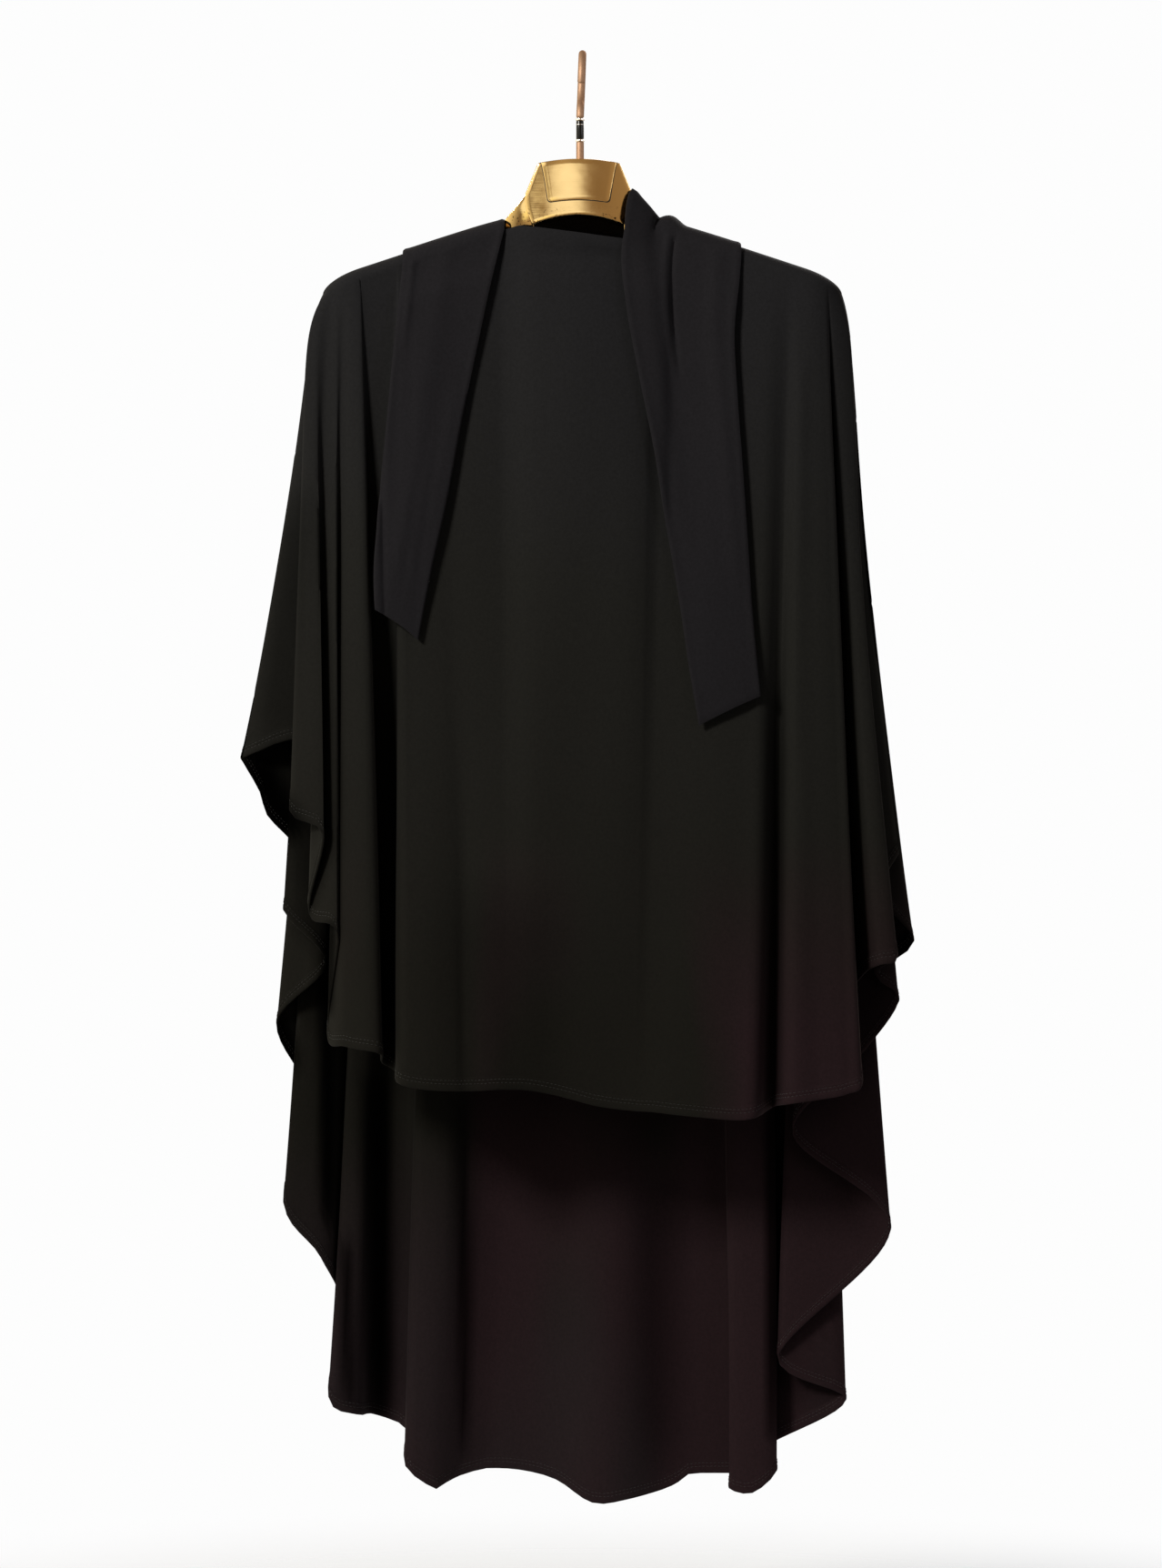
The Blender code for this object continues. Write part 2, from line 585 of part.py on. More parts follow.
def neck_half_width(part):
    """Half width of the neck at a share of its height from the top: widest at its waist."""
    if part < NECK_WAIST:
        return mix(NECK_TOP_WIDTH, NECK_WIDTH, part / NECK_WAIST) / 2
    below = (part - NECK_WAIST) / (1.0 - NECK_WAIST)
    return mix(NECK_WIDTH, NECK_FOOT_WIDTH, 1.0 - math.cos(math.pi / 2 * below)) / 2


def neck_block():
    """The neck's front outline over its arch, given its depth."""
    foot = NECK_TOP - NECK_HEIGHT
    corner = NECK_TOP - NECK_CROWN
    crown_steps = 6
    side_steps = 8
    arch_steps = 8
    outline = []
    for k in range(crown_steps + 1):
        across = mix(-1, 1, k / crown_steps)
        outline.append((across * neck_half_width(0.0), NECK_TOP - NECK_CROWN * across * across))
    sides = [(neck_half_width(k / side_steps), mix(corner, foot, k / side_steps))
             for k in range(1, side_steps + 1)]
    outline += sides
    for k in range(1, arch_steps):
        across = mix(1, -1, k / arch_steps)
        outline.append((across * neck_half_width(1.0), foot + NECK_ARCH * (1 - across * across)))
    outline += [(-x, z) for x, z in reversed(sides)]
    count = len(outline)
    vertices = [(NECK_SIDE + x, -NECK_DEPTH / 2, z) for x, z in outline]
    vertices += [(NECK_SIDE + x, NECK_DEPTH / 2, z) for x, z in outline]
    faces = [tuple(range(count)), tuple(range(2 * count - 1, count - 1, -1))]
    for k in range(count):
        after = (k + 1) % count
        faces.append((k, k + count, after + count, after))
    return object_from("neck_block", vertices, faces, "gold_plate", 45)


def add_boolean(target, other, operation):
    other.hide_render = True
    other.display_type = "WIRE"
    cut = target.modifiers.new(operation.lower(), "BOOLEAN")
    cut.operation = operation
    cut.object = other


# Hook, stem and collar

def turned(name, radius, low, high, finish, sides=16, edge=0.0):
    """A round piece between two heights on the stem's axis, with its edges broken."""
    profile = [(radius - edge, low), (radius, low + edge), (radius, high - edge), (radius - edge, high)]
    if not edge:
        profile = [(radius, low), (radius, high)]
    vertices = []
    faces = []
    for r, z in profile:
        for k in range(sides):
            angle = math.tau * k / sides
            vertices.append((-HOOK_LEAN + r * math.cos(angle), r * math.sin(angle), z))
    for level in range(len(profile) - 1):
        for k in range(sides):
            a = level * sides + k
            b = level * sides + (k + 1) % sides
            faces.append((a, b, b + sides, a + sides))
    faces.append(tuple(range(sides))[::-1])
    faces.append(tuple(range(len(vertices) - sides, len(vertices))))
    return object_from(name, vertices, faces, finish, 40)


def hook_path():
    """Middle line of the hook, from the collar up round its bow to the tip."""
    half = HOOK_WIRE / 2
    middle = half - HOOK_RADIUS
    fillet_z = middle - math.sqrt(HOOK_RADIUS ** 2 + 2 * HOOK_RADIUS * HOOK_FILLET)
    start = math.atan2(HOOK_FILLET, middle - fillet_z)
    path = [Vector((-HOOK_LEAN, 0, COLLAR_TOP + FIT_GAP)), Vector((-HOOK_LEAN, 0, fillet_z))]
    bends = 4
    for k in range(1, bends):
        angle = math.pi - k / bends * (math.pi / 2 - start)
        path.append(Vector((-HOOK_LEAN, HOOK_FILLET + HOOK_FILLET * math.cos(angle),
                            fillet_z + HOOK_FILLET * math.sin(angle))))
    turns = 18
    for k in range(turns + 1):
        angle = mix(start, math.radians(HOOK_TURN), k / turns)
        height = middle - HOOK_RADIUS * math.cos(angle)
        lean = HOOK_LEAN * (1 - (height - fillet_z) / (half - fillet_z))
        path.append(Vector((-lean, HOOK_RADIUS * math.sin(angle), height)))
    return path


def make_hook(sides=10):
    path = hook_path()
    vertices = []
    faces = []
    for i, place in enumerate(path):
        ahead = path[min(i + 1, len(path) - 1)] - path[max(i - 1, 0)]
        ahead.normalize()
        sideways = Vector((1, 0, 0))
        out = ahead.cross(sideways).normalized()
        sideways = out.cross(ahead)
        radius = HOOK_WIRE / 2
        for k in range(sides):
            angle = math.tau * k / sides
            vertices.append(place + radius * (math.cos(angle) * sideways + math.sin(angle) * out))
    for i in range(len(path) - 1):
        for k in range(sides):
            a = i * sides + k
            b = i * sides + (k + 1) % sides
            faces.append((a, b, b + sides, a + sides))
    nose = path[-1] + (path[-1] - path[-2]).normalized() * HOOK_WIRE * HOOK_NOSE
    vertices.append(nose)
    last = len(vertices) - 1 - sides
    for k in range(sides):
        faces.append((last + k, last + (k + 1) % sides, len(vertices) - 1))
    faces.append(tuple(range(sides))[::-1])
    object_from("hook", vertices, faces, "rose_gold", 50)


def make_collar():
    """The stem in the neck's hole, and above it ring, barrel and ring, each a fit gap apart."""
    edge = COLLAR_EDGE
    high = COLLAR_TOP
    turned("collar_ring_high", RING_RADIUS, high - RING_HEIGHT, high, "pale_metal", 16, edge)
    high -= RING_HEIGHT + FIT_GAP
    turned("collar_barrel", BARREL_RADIUS, high - BARREL_HEIGHT, high, "black_plastic", 16, edge)
    high -= BARREL_HEIGHT + FIT_GAP
    turned("collar_ring_low", RING_RADIUS, high - RING_HEIGHT, high, "pale_metal", 16, edge)
    high -= RING_HEIGHT + FIT_GAP
    turned("hanger_stem", STEM_RADIUS, NECK_TOP - STEM_SUNK + FIT_GAP, high, "rose_gold", 16, edge)


def main():
    clear_scene()
    ends = line_ends()
    tree = make_cape(ends)
    make_tie("tie_left", tree, -1, LEFT_TIE, TIE_DROP_LEFT, LEFT_END_SLANT, 0.0)
    make_tie("tie_right", tree, 1, RIGHT_TIE, TIE_DROP_RIGHT, RIGHT_END_SLANT, TIE_PEAK)
    make_band(ends)
    make_hanger_body()
    make_hook()
    make_collar()


main()
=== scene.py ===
import math

import bmesh
import bpy
import numpy as np
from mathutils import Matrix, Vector
from mathutils.bvhtree import BVHTree


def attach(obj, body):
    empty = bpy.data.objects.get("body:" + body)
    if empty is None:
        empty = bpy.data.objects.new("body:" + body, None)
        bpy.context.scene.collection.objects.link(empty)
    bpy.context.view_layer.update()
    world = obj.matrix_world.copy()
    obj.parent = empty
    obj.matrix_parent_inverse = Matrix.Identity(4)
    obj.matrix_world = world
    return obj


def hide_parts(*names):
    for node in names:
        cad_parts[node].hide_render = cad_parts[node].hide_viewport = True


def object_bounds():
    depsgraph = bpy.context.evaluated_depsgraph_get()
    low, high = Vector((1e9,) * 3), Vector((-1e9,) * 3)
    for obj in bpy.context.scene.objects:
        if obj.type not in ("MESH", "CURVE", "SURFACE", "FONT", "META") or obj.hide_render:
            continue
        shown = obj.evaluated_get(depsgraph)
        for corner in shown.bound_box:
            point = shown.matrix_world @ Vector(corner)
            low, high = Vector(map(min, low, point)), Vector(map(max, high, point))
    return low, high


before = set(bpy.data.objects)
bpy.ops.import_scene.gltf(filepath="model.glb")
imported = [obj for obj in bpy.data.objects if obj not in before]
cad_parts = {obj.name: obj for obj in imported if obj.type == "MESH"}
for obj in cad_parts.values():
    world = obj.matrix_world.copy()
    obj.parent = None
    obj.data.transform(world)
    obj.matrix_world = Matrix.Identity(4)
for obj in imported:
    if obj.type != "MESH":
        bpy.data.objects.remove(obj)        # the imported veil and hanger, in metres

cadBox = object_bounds()


def say(text):
    print("veil:", text, flush=True)


def mix(start, end, share):
    return start + (end - start) * share


def linearColour(code):
    parts = [int(code[i:i + 2], 16) / 255 for i in (1, 3, 5)]
    return tuple(c / 12.92 if c <= 0.04045 else ((c + 0.055) / 1.055) ** 2.4 for c in parts) + (1.0,)


# Nodes and materials

def addNode(tree, kind, settings=None, links=None):
    node = tree.nodes.new(kind)
    for name, value in (settings or {}).items():
        if isinstance(name, int) or name in node.inputs:
            node.inputs[name].default_value = value
        else:
            setattr(node, name, value)
    for name, source in (links or {}).items():
        tree.links.new(source, node.inputs[name])
    return node


def setRamp(node, stops):
    # stops are (position, colour code) from low to high
    elements = node.color_ramp.elements
    while len(elements) < len(stops):
        elements.new(0.5)
    for element, (position, code) in zip(elements, stops):
        element.position = position
        element.color = linearColour(code)
    return node


def startMaterial(name, base, roughness, metallic=0.0):
    made = bpy.data.materials.new(name)
    made.use_nodes = True
    tree = made.node_tree
    shader = tree.nodes["Principled BSDF"]
    shader.inputs["Base Color"].default_value = linearColour(base)
    shader.inputs["Roughness"].default_value = roughness
    shader.inputs["Metallic"].default_value = metallic
    place = addNode(tree, "ShaderNodeTexCoord").outputs["Object"]
    return made, tree, shader, place


jerseyLook = {
    "grain": 0.0011,         # crepe pebble, drawn twice as coarse as the real 0.5 mm so that it shows
    "rib": 0.0016,           # knitted ribs, drawn coarser than the real 0.4 mm for the same reason
    "grainDepth": 0.00010,
    "roughness": 0.86,
    "sheen": 0.07,
    "sheenColour": "#8f8f96",
}


def crepeJersey(name, codes, strength=1.0):
    # polyester crepe jersey, piece dyed: dull and deep, with a faint bloom where it turns away; its colour changes
    # with height and in patches, and painted shade darkens it in the folds
    made, tree, shader, place = startMaterial(name, codes[1], jerseyLook["roughness"])
    height = addNode(tree, "ShaderNodeSeparateXYZ", links={0: place}).outputs["Z"]
    cloud = addNode(tree, "ShaderNodeTexNoise", {"Scale": 3.2, "Detail": 1.5}, {"Vector": place})
    drift = addNode(tree, "ShaderNodeMath", {"operation": "MULTIPLY_ADD", 1: 0.30, 2: -0.15},
                    {0: cloud.outputs["Fac"]})
    # the colour changes with height along the given codes, moved about by slow noise
    lowness = addNode(tree, "ShaderNodeMapRange",
                      {"From Min": -0.15, "From Max": -1.20, "To Min": 0.0, "To Max": 1.0}, {"Value": height})
    where = addNode(tree, "ShaderNodeMath", {"operation": "ADD"},
                    {0: lowness.outputs["Result"], 1: drift.outputs[0]})
    heightColour = setRamp(addNode(tree, "ShaderNodeValToRGB", links={"Fac": where.outputs[0]}),
                  [(0.05, codes[0]), (0.30, codes[1]), (0.60, codes[2]), (0.72, codes[2]), (0.90, codes[3])])
    streak = addNode(tree, "ShaderNodeMapping", {"Scale": (9.0, 3.0, 2.2)}, {"Vector": place})
    patch = addNode(tree, "ShaderNodeTexNoise", {"Scale": 1.0, "Detail": 1.0}, {"Vector": streak.outputs[0]})
    sideways = addNode(tree, "ShaderNodeSeparateXYZ", links={0: place}).outputs["X"]
    leaning = addNode(tree, "ShaderNodeMath", {"operation": "MULTIPLY_ADD", 1: 0.9},
                      {0: sideways, 2: patch.outputs["Fac"]})
    sunk = addNode(tree, "ShaderNodeMapRange",
                   {"From Min": -0.88, "From Max": -1.05, "To Min": 0.0, "To Max": 0.14}, {"Value": height})
    biased = addNode(tree, "ShaderNodeMath", {"operation": "ADD"},
                     {0: leaning.outputs[0], 1: sunk.outputs["Result"]})
    patchy = addNode(tree, "ShaderNodeMapRange",
                     {"From Min": 0.47, "From Max": 0.68, "interpolation_type": "SMOOTHSTEP"},
                     {"Value": biased.outputs[0]})
    lower = addNode(tree, "ShaderNodeMapRange", {"From Min": -0.66, "From Max": -0.84}, {"Value": height})
    warmth = addNode(tree, "ShaderNodeMath", {"operation": "MULTIPLY"},
                     {0: patchy.outputs["Result"], 1: lower.outputs["Result"]})
    warmed = addNode(tree, "ShaderNodeMix", {"data_type": "RGBA", 7: linearColour(codes[4])},
                     {0: warmth.outputs[0], 6: heightColour.outputs["Color"]})
    # painted shade: the fold shade darkens the base colour
    shade = addNode(tree, "ShaderNodeAttribute", {"attribute_name": "paintedFoldShade"})
    shaded = addNode(tree, "ShaderNodeMix", {"data_type": "RGBA", "blend_type": "MULTIPLY", 0: 1.0},
                     {6: warmed.outputs[2], 7: shade.outputs["Fac"]})
    mottle = addNode(tree, "ShaderNodeTexNoise", {"Scale": 420.0, "Detail": 3.0}, {"Vector": place})
    thread = addNode(tree, "ShaderNodeMapRange",
                     {"From Min": 0.3, "From Max": 0.7, "To Min": 0.86, "To Max": 1.14},
                     {"Value": mottle.outputs["Fac"]})
    coloured = addNode(tree, "ShaderNodeMix", {"data_type": "RGBA", "blend_type": "MULTIPLY", 0: 1.0},
                       {6: shaded.outputs[2], 7: thread.outputs["Result"]})
    tree.links.new(coloured.outputs[2], shader.inputs["Base Color"])
    pebble = addNode(tree, "ShaderNodeTexNoise", {"Scale": 1 / jerseyLook["grain"], "Detail": 2.0},
                     {"Vector": place})
    ribs = addNode(tree, "ShaderNodeTexWave",
                   {"wave_type": "BANDS", "bands_direction": "X", "Scale": math.tau / 20 / jerseyLook["rib"],
                    "Distortion": 1.2, "Detail": 1.0, "Detail Scale": 4.0}, {"Vector": place})
    relief = addNode(tree, "ShaderNodeMath", {"operation": "MULTIPLY_ADD", 1: 0.35},
                     {0: ribs.outputs["Fac"], 2: pebble.outputs["Fac"]})
    bump = addNode(tree, "ShaderNodeBump", {"Strength": 0.5 * strength, "Distance": jerseyLook["grainDepth"]},
                   {"Height": relief.outputs[0]})
    tree.links.new(bump.outputs["Normal"], shader.inputs["Normal"])
    shader.inputs["IOR"].default_value = 1.45
    # painted shade: the bloom and the gloss are scaled down by the painted fold shade, so deep in a fold neither
    # shows
    for socket, most in (("Specular IOR Level", 0.12), ("Sheen Weight", jerseyLook["sheen"])):
        faded = addNode(tree, "ShaderNodeMath", {"operation": "MULTIPLY", 1: most}, {0: shade.outputs["Fac"]})
        tree.links.new(faded.outputs[0], shader.inputs[socket])
    shader.inputs["Sheen Roughness"].default_value = 0.45
    shader.inputs["Sheen Tint"].default_value = linearColour(jerseyLook["sheenColour"])
    return made


def spunThread():
    # spun polyester sewing thread: the cloth's own black, a little glossier, so the seams just show
    made, tree, shader, place = startMaterial("spunPolyesterThread", "#1a1a1b", 0.7)
    ply = addNode(tree, "ShaderNodeTexNoise", {"Scale": 2500.0}, {"Vector": place})
    twist = addNode(tree, "ShaderNodeBump", {"Strength": 0.4, "Distance": 0.00005},
                    {"Height": ply.outputs["Fac"]})
    tree.links.new(twist.outputs["Normal"], shader.inputs["Normal"])
    shader.inputs["Sheen Weight"].default_value = 0.2
    return made


def platedGold():
    # vacuum gold plating on ABS, lacquered: a mirror with a slight orange peel, rubbed and spotted low down
    made, tree, shader, place = startMaterial("mirrorGoldPlate", "#e6c486", 0.13, 1.0)
    peel = addNode(tree, "ShaderNodeTexNoise", {"Scale": 90.0, "Detail": 1.0}, {"Vector": place})
    rub = addNode(tree, "ShaderNodeMapping", {"Scale": (30.0, 60.0, 900.0)}, {"Vector": place})
    lines = addNode(tree, "ShaderNodeTexNoise", {"Scale": 1.0, "Detail": 2.0}, {"Vector": rub.outputs[0]})
    haze = addNode(tree, "ShaderNodeTexNoise", {"Scale": 45.0, "Detail": 3.0}, {"Vector": place})
    dull = addNode(tree, "ShaderNodeMapRange",
                   {"From Min": 0.35, "From Max": 0.75, "To Min": 0.06, "To Max": 0.16},
                   {"Value": haze.outputs["Fac"]})
    tree.links.new(dull.outputs["Result"], shader.inputs["Roughness"])
    # tarnish: small brown specks, only near the arch at the foot of the neck
    speck = addNode(tree, "ShaderNodeTexNoise", {"Scale": 480.0, "Detail": 2.0}, {"Vector": place})
    spots = addNode(tree, "ShaderNodeMapRange", {"From Min": 0.62, "From Max": 0.70},
                    {"Value": speck.outputs["Fac"]})
    height = addNode(tree, "ShaderNodeSeparateXYZ", links={0: place}).outputs["Z"]
    low = addNode(tree, "ShaderNodeMapRange", {"From Min": -0.127, "From Max": -0.139}, {"Value": height})
    spotted = addNode(tree, "ShaderNodeMath", {"operation": "MULTIPLY"},
                      {0: spots.outputs["Result"], 1: low.outputs["Result"]})
    tarnish = addNode(tree, "ShaderNodeMix", {"data_type": "RGBA", 6: linearColour("#e6c486"),
                                              7: linearColour("#4a3313")}, {0: spotted.outputs[0]})
    tree.links.new(tarnish.outputs[2], shader.inputs["Base Color"])
    mixed = addNode(tree, "ShaderNodeMath", {"operation": "MULTIPLY_ADD", 1: 0.12},
                    {0: lines.outputs["Fac"], 2: peel.outputs["Fac"]})
    bump = addNode(tree, "ShaderNodeBump", {"Strength": 0.14, "Distance": 0.0004},
                   {"Height": mixed.outputs[0]})
    tree.links.new(bump.outputs["Normal"], shader.inputs["Normal"])
    return made


def satinRoseGold():
    # steel rod, brushed lengthways and plated rose gold: soft, streaked along the rod
    made, tree, shader, place = startMaterial("satinRoseGoldSteel", "#b08f78", 0.6, 0.75)
    shader.inputs["Specular Tint"].default_value = linearColour("#b09078")
    along = addNode(tree, "ShaderNodeMapping", {"Scale": (2600.0, 2600.0, 60.0)}, {"Vector": place})
    hairs = addNode(tree, "ShaderNodeTexNoise", {"Scale": 1.0, "Detail": 2.0}, {"Vector": along.outputs[0]})
    tone = setRamp(addNode(tree, "ShaderNodeValToRGB", links={"Fac": hairs.outputs["Fac"]}),
                   [(0.3, "#9a7c66"), (0.7, "#ae8e76")])
    tree.links.new(tone.outputs["Color"], shader.inputs["Base Color"])
    bump = addNode(tree, "ShaderNodeBump", {"Strength": 0.2, "Distance": 0.0001},
                   {"Height": hairs.outputs["Fac"]})
    tree.links.new(bump.outputs["Normal"], shader.inputs["Normal"])
    return made


def brightChrome():
    # turned brass ring, chrome plated: clean and pale, with fine turning lines round it
    made, tree, shader, place = startMaterial("chromedBrassRing", "#efecea", 0.12, 1.0)
    flat = addNode(tree, "ShaderNodeMapping", {"Scale": (10.0, 10.0, 5000.0)}, {"Vector": place})
    turning = addNode(tree, "ShaderNodeTexNoise", {"Scale": 1.0}, {"Vector": flat.outputs[0]})
    bump = addNode(tree, "ShaderNodeBump", {"Strength": 0.15, "Distance": 0.00005},
                   {"Height": turning.outputs["Fac"]})
    tree.links.new(bump.outputs["Normal"], shader.inputs["Normal"])
    return made


def glossBlack():
    # black ABS, moulded and polished: deep black with a clean highlight down each side
    made, tree, shader, place = startMaterial("polishedBlackAbs", "#060607", 0.2)
    wave = addNode(tree, "ShaderNodeTexNoise", {"Scale": 300.0}, {"Vector": place})
    bump = addNode(tree, "ShaderNodeBump", {"Strength": 0.1, "Distance": 0.0001},
                   {"Height": wave.outputs["Fac"]})
    tree.links.new(bump.outputs["Normal"], shader.inputs["Normal"])
    shader.inputs["IOR"].default_value = 1.33
    return made


def shadowSeam():
    # a dark plate just behind the panel and a little wider than it: painted shadow for the groove round the panel
    made, tree, shader, place = startMaterial("paintedGrooveShadow", "#171008", 0.5)
    dust = addNode(tree, "ShaderNodeTexNoise", {"Scale": 700.0}, {"Vector": place})
    bump = addNode(tree, "ShaderNodeBump", {"Strength": 0.2, "Distance": 0.0001}, {"Height": dust.outputs["Fac"]})
    tree.links.new(bump.outputs["Normal"], shader.inputs["Normal"])
    return made


capeCloth = crepeJersey("crepeJerseySingle", ("#1c1c1e", "#181816", "#12110d", "#1c1517", "#1f1316"))
tieCloth = crepeJersey("crepeJerseyDoubled", ("#1b1a1d", "#18171a", "#141316", "#141316", "#141316"))
threadBlack = spunThread()
gold = platedGold()
roseGold = satinRoseGold()
chrome = brightChrome()
black = glossBlack()
grooveShadowPaint = shadowSeam()
say("materials made")


# Studio: camera level with the middle of the veil, pale floor, soft light from the upper left front
studio = {
    "frame": (1278, 1724),         # the photograph, in pixels
    "middle": (639, 862),
    "hookSeat": (640.5, 64),       # where the top of the hook's seat lies in it
    "pixel": 0.00078,              # metres for each pixel at the veil
    "distance": 4.0,
    "sensor": 36,
    "floorDrop": 0.16,             # the hem hangs this far over the floor
    "floorRadius": 14.0,
    "backdropColour": "#fdfdfd",
    "floorColour": "#fdfcfa",
    "ambient": 0.05,
}


def buildStudio():
    pixel = studio["pixel"]
    across = (studio["middle"][0] - studio["hookSeat"][0]) * pixel
    height = (studio["hookSeat"][1] - studio["middle"][1]) * pixel
    bpy.ops.object.camera_add(location=(across, -studio["distance"], height),
                              rotation=(math.radians(90), 0, 0))
    camera = bpy.context.object
    camera.data.sensor_width = studio["sensor"]
    camera.data.lens = studio["sensor"] * studio["distance"] / (studio["frame"][1] * pixel)
    camera.data.clip_end = 100
    bpy.context.scene.camera = camera

    floorHeight = cadBox[0].z - studio["floorDrop"]
    bpy.ops.mesh.primitive_circle_add(vertices=96, radius=studio["floorRadius"], fill_type="NGON",
                                      location=(0, 0, floorHeight))
    floor = bpy.context.object
    floor.name = "studio_floor"
    made, tree, shader, place = startMaterial("mattPaperFloor", studio["floorColour"], 0.9)
    shader.inputs["Specular IOR Level"].default_value = 0.1
    # the floor fades into the backdrop, so there is no horizon
    reach = addNode(tree, "ShaderNodeVectorMath", {"operation": "LENGTH"}, {0: place})
    fade = addNode(tree, "ShaderNodeMapRange",
                   {"From Min": 0.15, "From Max": 1.1, "interpolation_type": "SMOOTHSTEP"},
                   {"Value": reach.outputs["Value"]})
    clear = addNode(tree, "ShaderNodeBsdfTransparent")
    joined = addNode(tree, "ShaderNodeMixShader",
                     links={0: fade.outputs["Result"], 1: shader.outputs[0], 2: clear.outputs[0]})
    tree.links.new(joined.outputs[0], tree.nodes["Material Output"].inputs["Surface"])
    floor.data.materials.append(made)

    lights = (
        # name, place, aim, size, watts, warmth
        ("key_softbox", (-2.7, -2.9, 1.7), (0.0, 0.0, -0.60), 0.9, 215, "#fffaf2"),
        ("fill_softbox", (3.2, -2.6, 0.6), (0.0, 0.0, -0.70), 1.2, 16, "#f2f4ff"),
        ("rim_softbox", (0.8, 3.0, 1.2), (0.0, 0.0, -0.60), 1.6, 45, "#ffffff"),
    )
    for name, location, aim, size, watts, warmth in lights:
        turn = (Vector(aim) - Vector(location)).to_track_quat("-Z", "Y").to_euler()
        bpy.ops.object.light_add(type="AREA", location=location, rotation=turn)
        lamp = bpy.context.object
        lamp.name = name
        lamp.data.shape = "SQUARE"
        lamp.data.size = size
        lamp.data.energy = watts
        lamp.data.color = linearColour(warmth)[:3]
        lamp.visible_camera = False


def towards(azimuth, elevation):
    # a direction seen from the veil: 0 is the camera, negative is the viewer's left
    a, e = math.radians(azimuth), math.radians(elevation)
    return (math.sin(a) * math.cos(e), -math.cos(a) * math.cos(e), math.sin(e))


def buildWorld():
    # near white for the eye and for matt things, and a room of soft panels for the polished metal
    scene = bpy.context.scene
    scene.world = bpy.data.worlds.new("paleStudioWorld")
    scene.world.use_nodes = True
    tree = scene.world.node_tree
    tree.nodes.clear()
    path = addNode(tree, "ShaderNodeLightPath")
    direction = addNode(tree, "ShaderNodeTexCoord").outputs["Generated"]
    across = addNode(tree, "ShaderNodeSeparateXYZ", links={0: direction})
    side = addNode(tree, "ShaderNodeMapRange", {"From Min": -1.0, "From Max": 1.0},
                   {"Value": across.outputs["X"]})
    room = setRamp(addNode(tree, "ShaderNodeValToRGB", links={"Fac": side.outputs["Result"]}),
                   [(0.0, "#fffbe8"), (0.20, "#fff6d8"), (0.33, "#6a5c4c"), (0.44, "#a8967c"),
                    (0.56, "#7d6a56"), (0.72, "#97836c"), (1.0, "#e8e2da")])
    colour = room.outputs["Color"]
    patches = (
        # azimuth, elevation, half width inside and outside the soft edge, colour
        (-5, 3, 4, 10, "#ffffff"),
        (-13, -1, 3, 7, "#fff8cc"),
        (-17, 2, 3, 6, "#fffdf0"),
        (-27, 16, 3, 10, "#fff8e8"),
    )
    for azimuth, elevation, inner, outer, code in patches:
        near = addNode(tree, "ShaderNodeVectorMath", {"operation": "DOT_PRODUCT", 1: towards(azimuth, elevation)},
                       {0: direction})
        soft = addNode(tree, "ShaderNodeMapRange",
                       {"From Min": math.cos(math.radians(outer)), "From Max": math.cos(math.radians(inner)),
                        "interpolation_type": "SMOOTHSTEP"}, {"Value": near.outputs["Value"]})
        colour = addNode(tree, "ShaderNodeMix", {"data_type": "RGBA", 7: linearColour(code)},
                         {0: soft.outputs["Result"], 6: colour}).outputs[2]
    mirror = addNode(tree, "ShaderNodeBackground", {"Strength": 1.35}, {"Color": colour})
    eye = addNode(tree, "ShaderNodeBackground",
                  {"Color": linearColour(studio["backdropColour"]), "Strength": 1.0})
    soft = addNode(tree, "ShaderNodeBackground", {"Color": linearColour("#fbfbff"), "Strength": studio["ambient"]})
    seen = addNode(tree, "ShaderNodeMixShader",
                   links={0: path.outputs["Is Glossy Ray"], 1: soft.outputs[0], 2: mirror.outputs[0]})
    both = addNode(tree, "ShaderNodeMixShader",
                   links={0: path.outputs["Is Camera Ray"], 1: seen.outputs[0], 2: eye.outputs[0]})
    addNode(tree, "ShaderNodeOutputWorld", links={"Surface": both.outputs[0]})
    scene.view_settings.view_transform = "Standard"


bpy.ops.object.select_all(action="DESELECT")
buildStudio()
buildWorld()
say("studio ready")


# The shoulder line that the cloth lies on, with the sizes of the solids
shoulder = {
    "halfWidth": 0.2222, "top": -0.1405, "start": 0.24, "slope": 0.335, "bend": 0.0180,
    "depthNeck": 0.0120, "depthTip": 0.0260, "crownNeck": 0.0050, "crownTip": 0.0120, "tipStart": 0.86,
    "flare": 0.0255, "flareSlope": 1.10,
}


def tipRounding(share):
    if share <= shoulder["tipStart"]:
        return 1.0
    return math.sqrt(max(0.0, 1.0 - ((share - shoulder["tipStart"]) / (1.0 - shoulder["tipStart"])) ** 2))


def shoulderSize(share):
    rounding = tipRounding(share)
    return (mix(shoulder["depthNeck"], shoulder["depthTip"], share) * rounding,
            mix(shoulder["crownNeck"], shoulder["crownTip"], share) * rounding)


def shoulderLine(share):
    sideways = max(0.0, share - shoulder["start"]) * shoulder["halfWidth"]
    fall = shoulder["slope"] * (math.hypot(sideways, shoulder["bend"]) - shoulder["bend"])
    return shoulder["top"] - fall - mix(shoulder["crownNeck"], shoulder["crownTip"], share)


def armFlare(share):
    inwards = max(0.0, cape["opening"] - share) * shoulder["halfWidth"]
    return min(shoulder["flare"], shoulder["flareSlope"] * inwards)


def shoulderPoint(side, share, turn, proud=0.0):
    # a point on the cloth over an arm: turn 0 in front, 180 behind
    halfDepth, crown = shoulderSize(share)
    angle = math.radians(turn)
    return Vector((side * share * shoulder["halfWidth"], -(halfDepth + proud) * math.cos(angle),
                   shoulderLine(share) + (crown + proud) * math.sin(angle)))


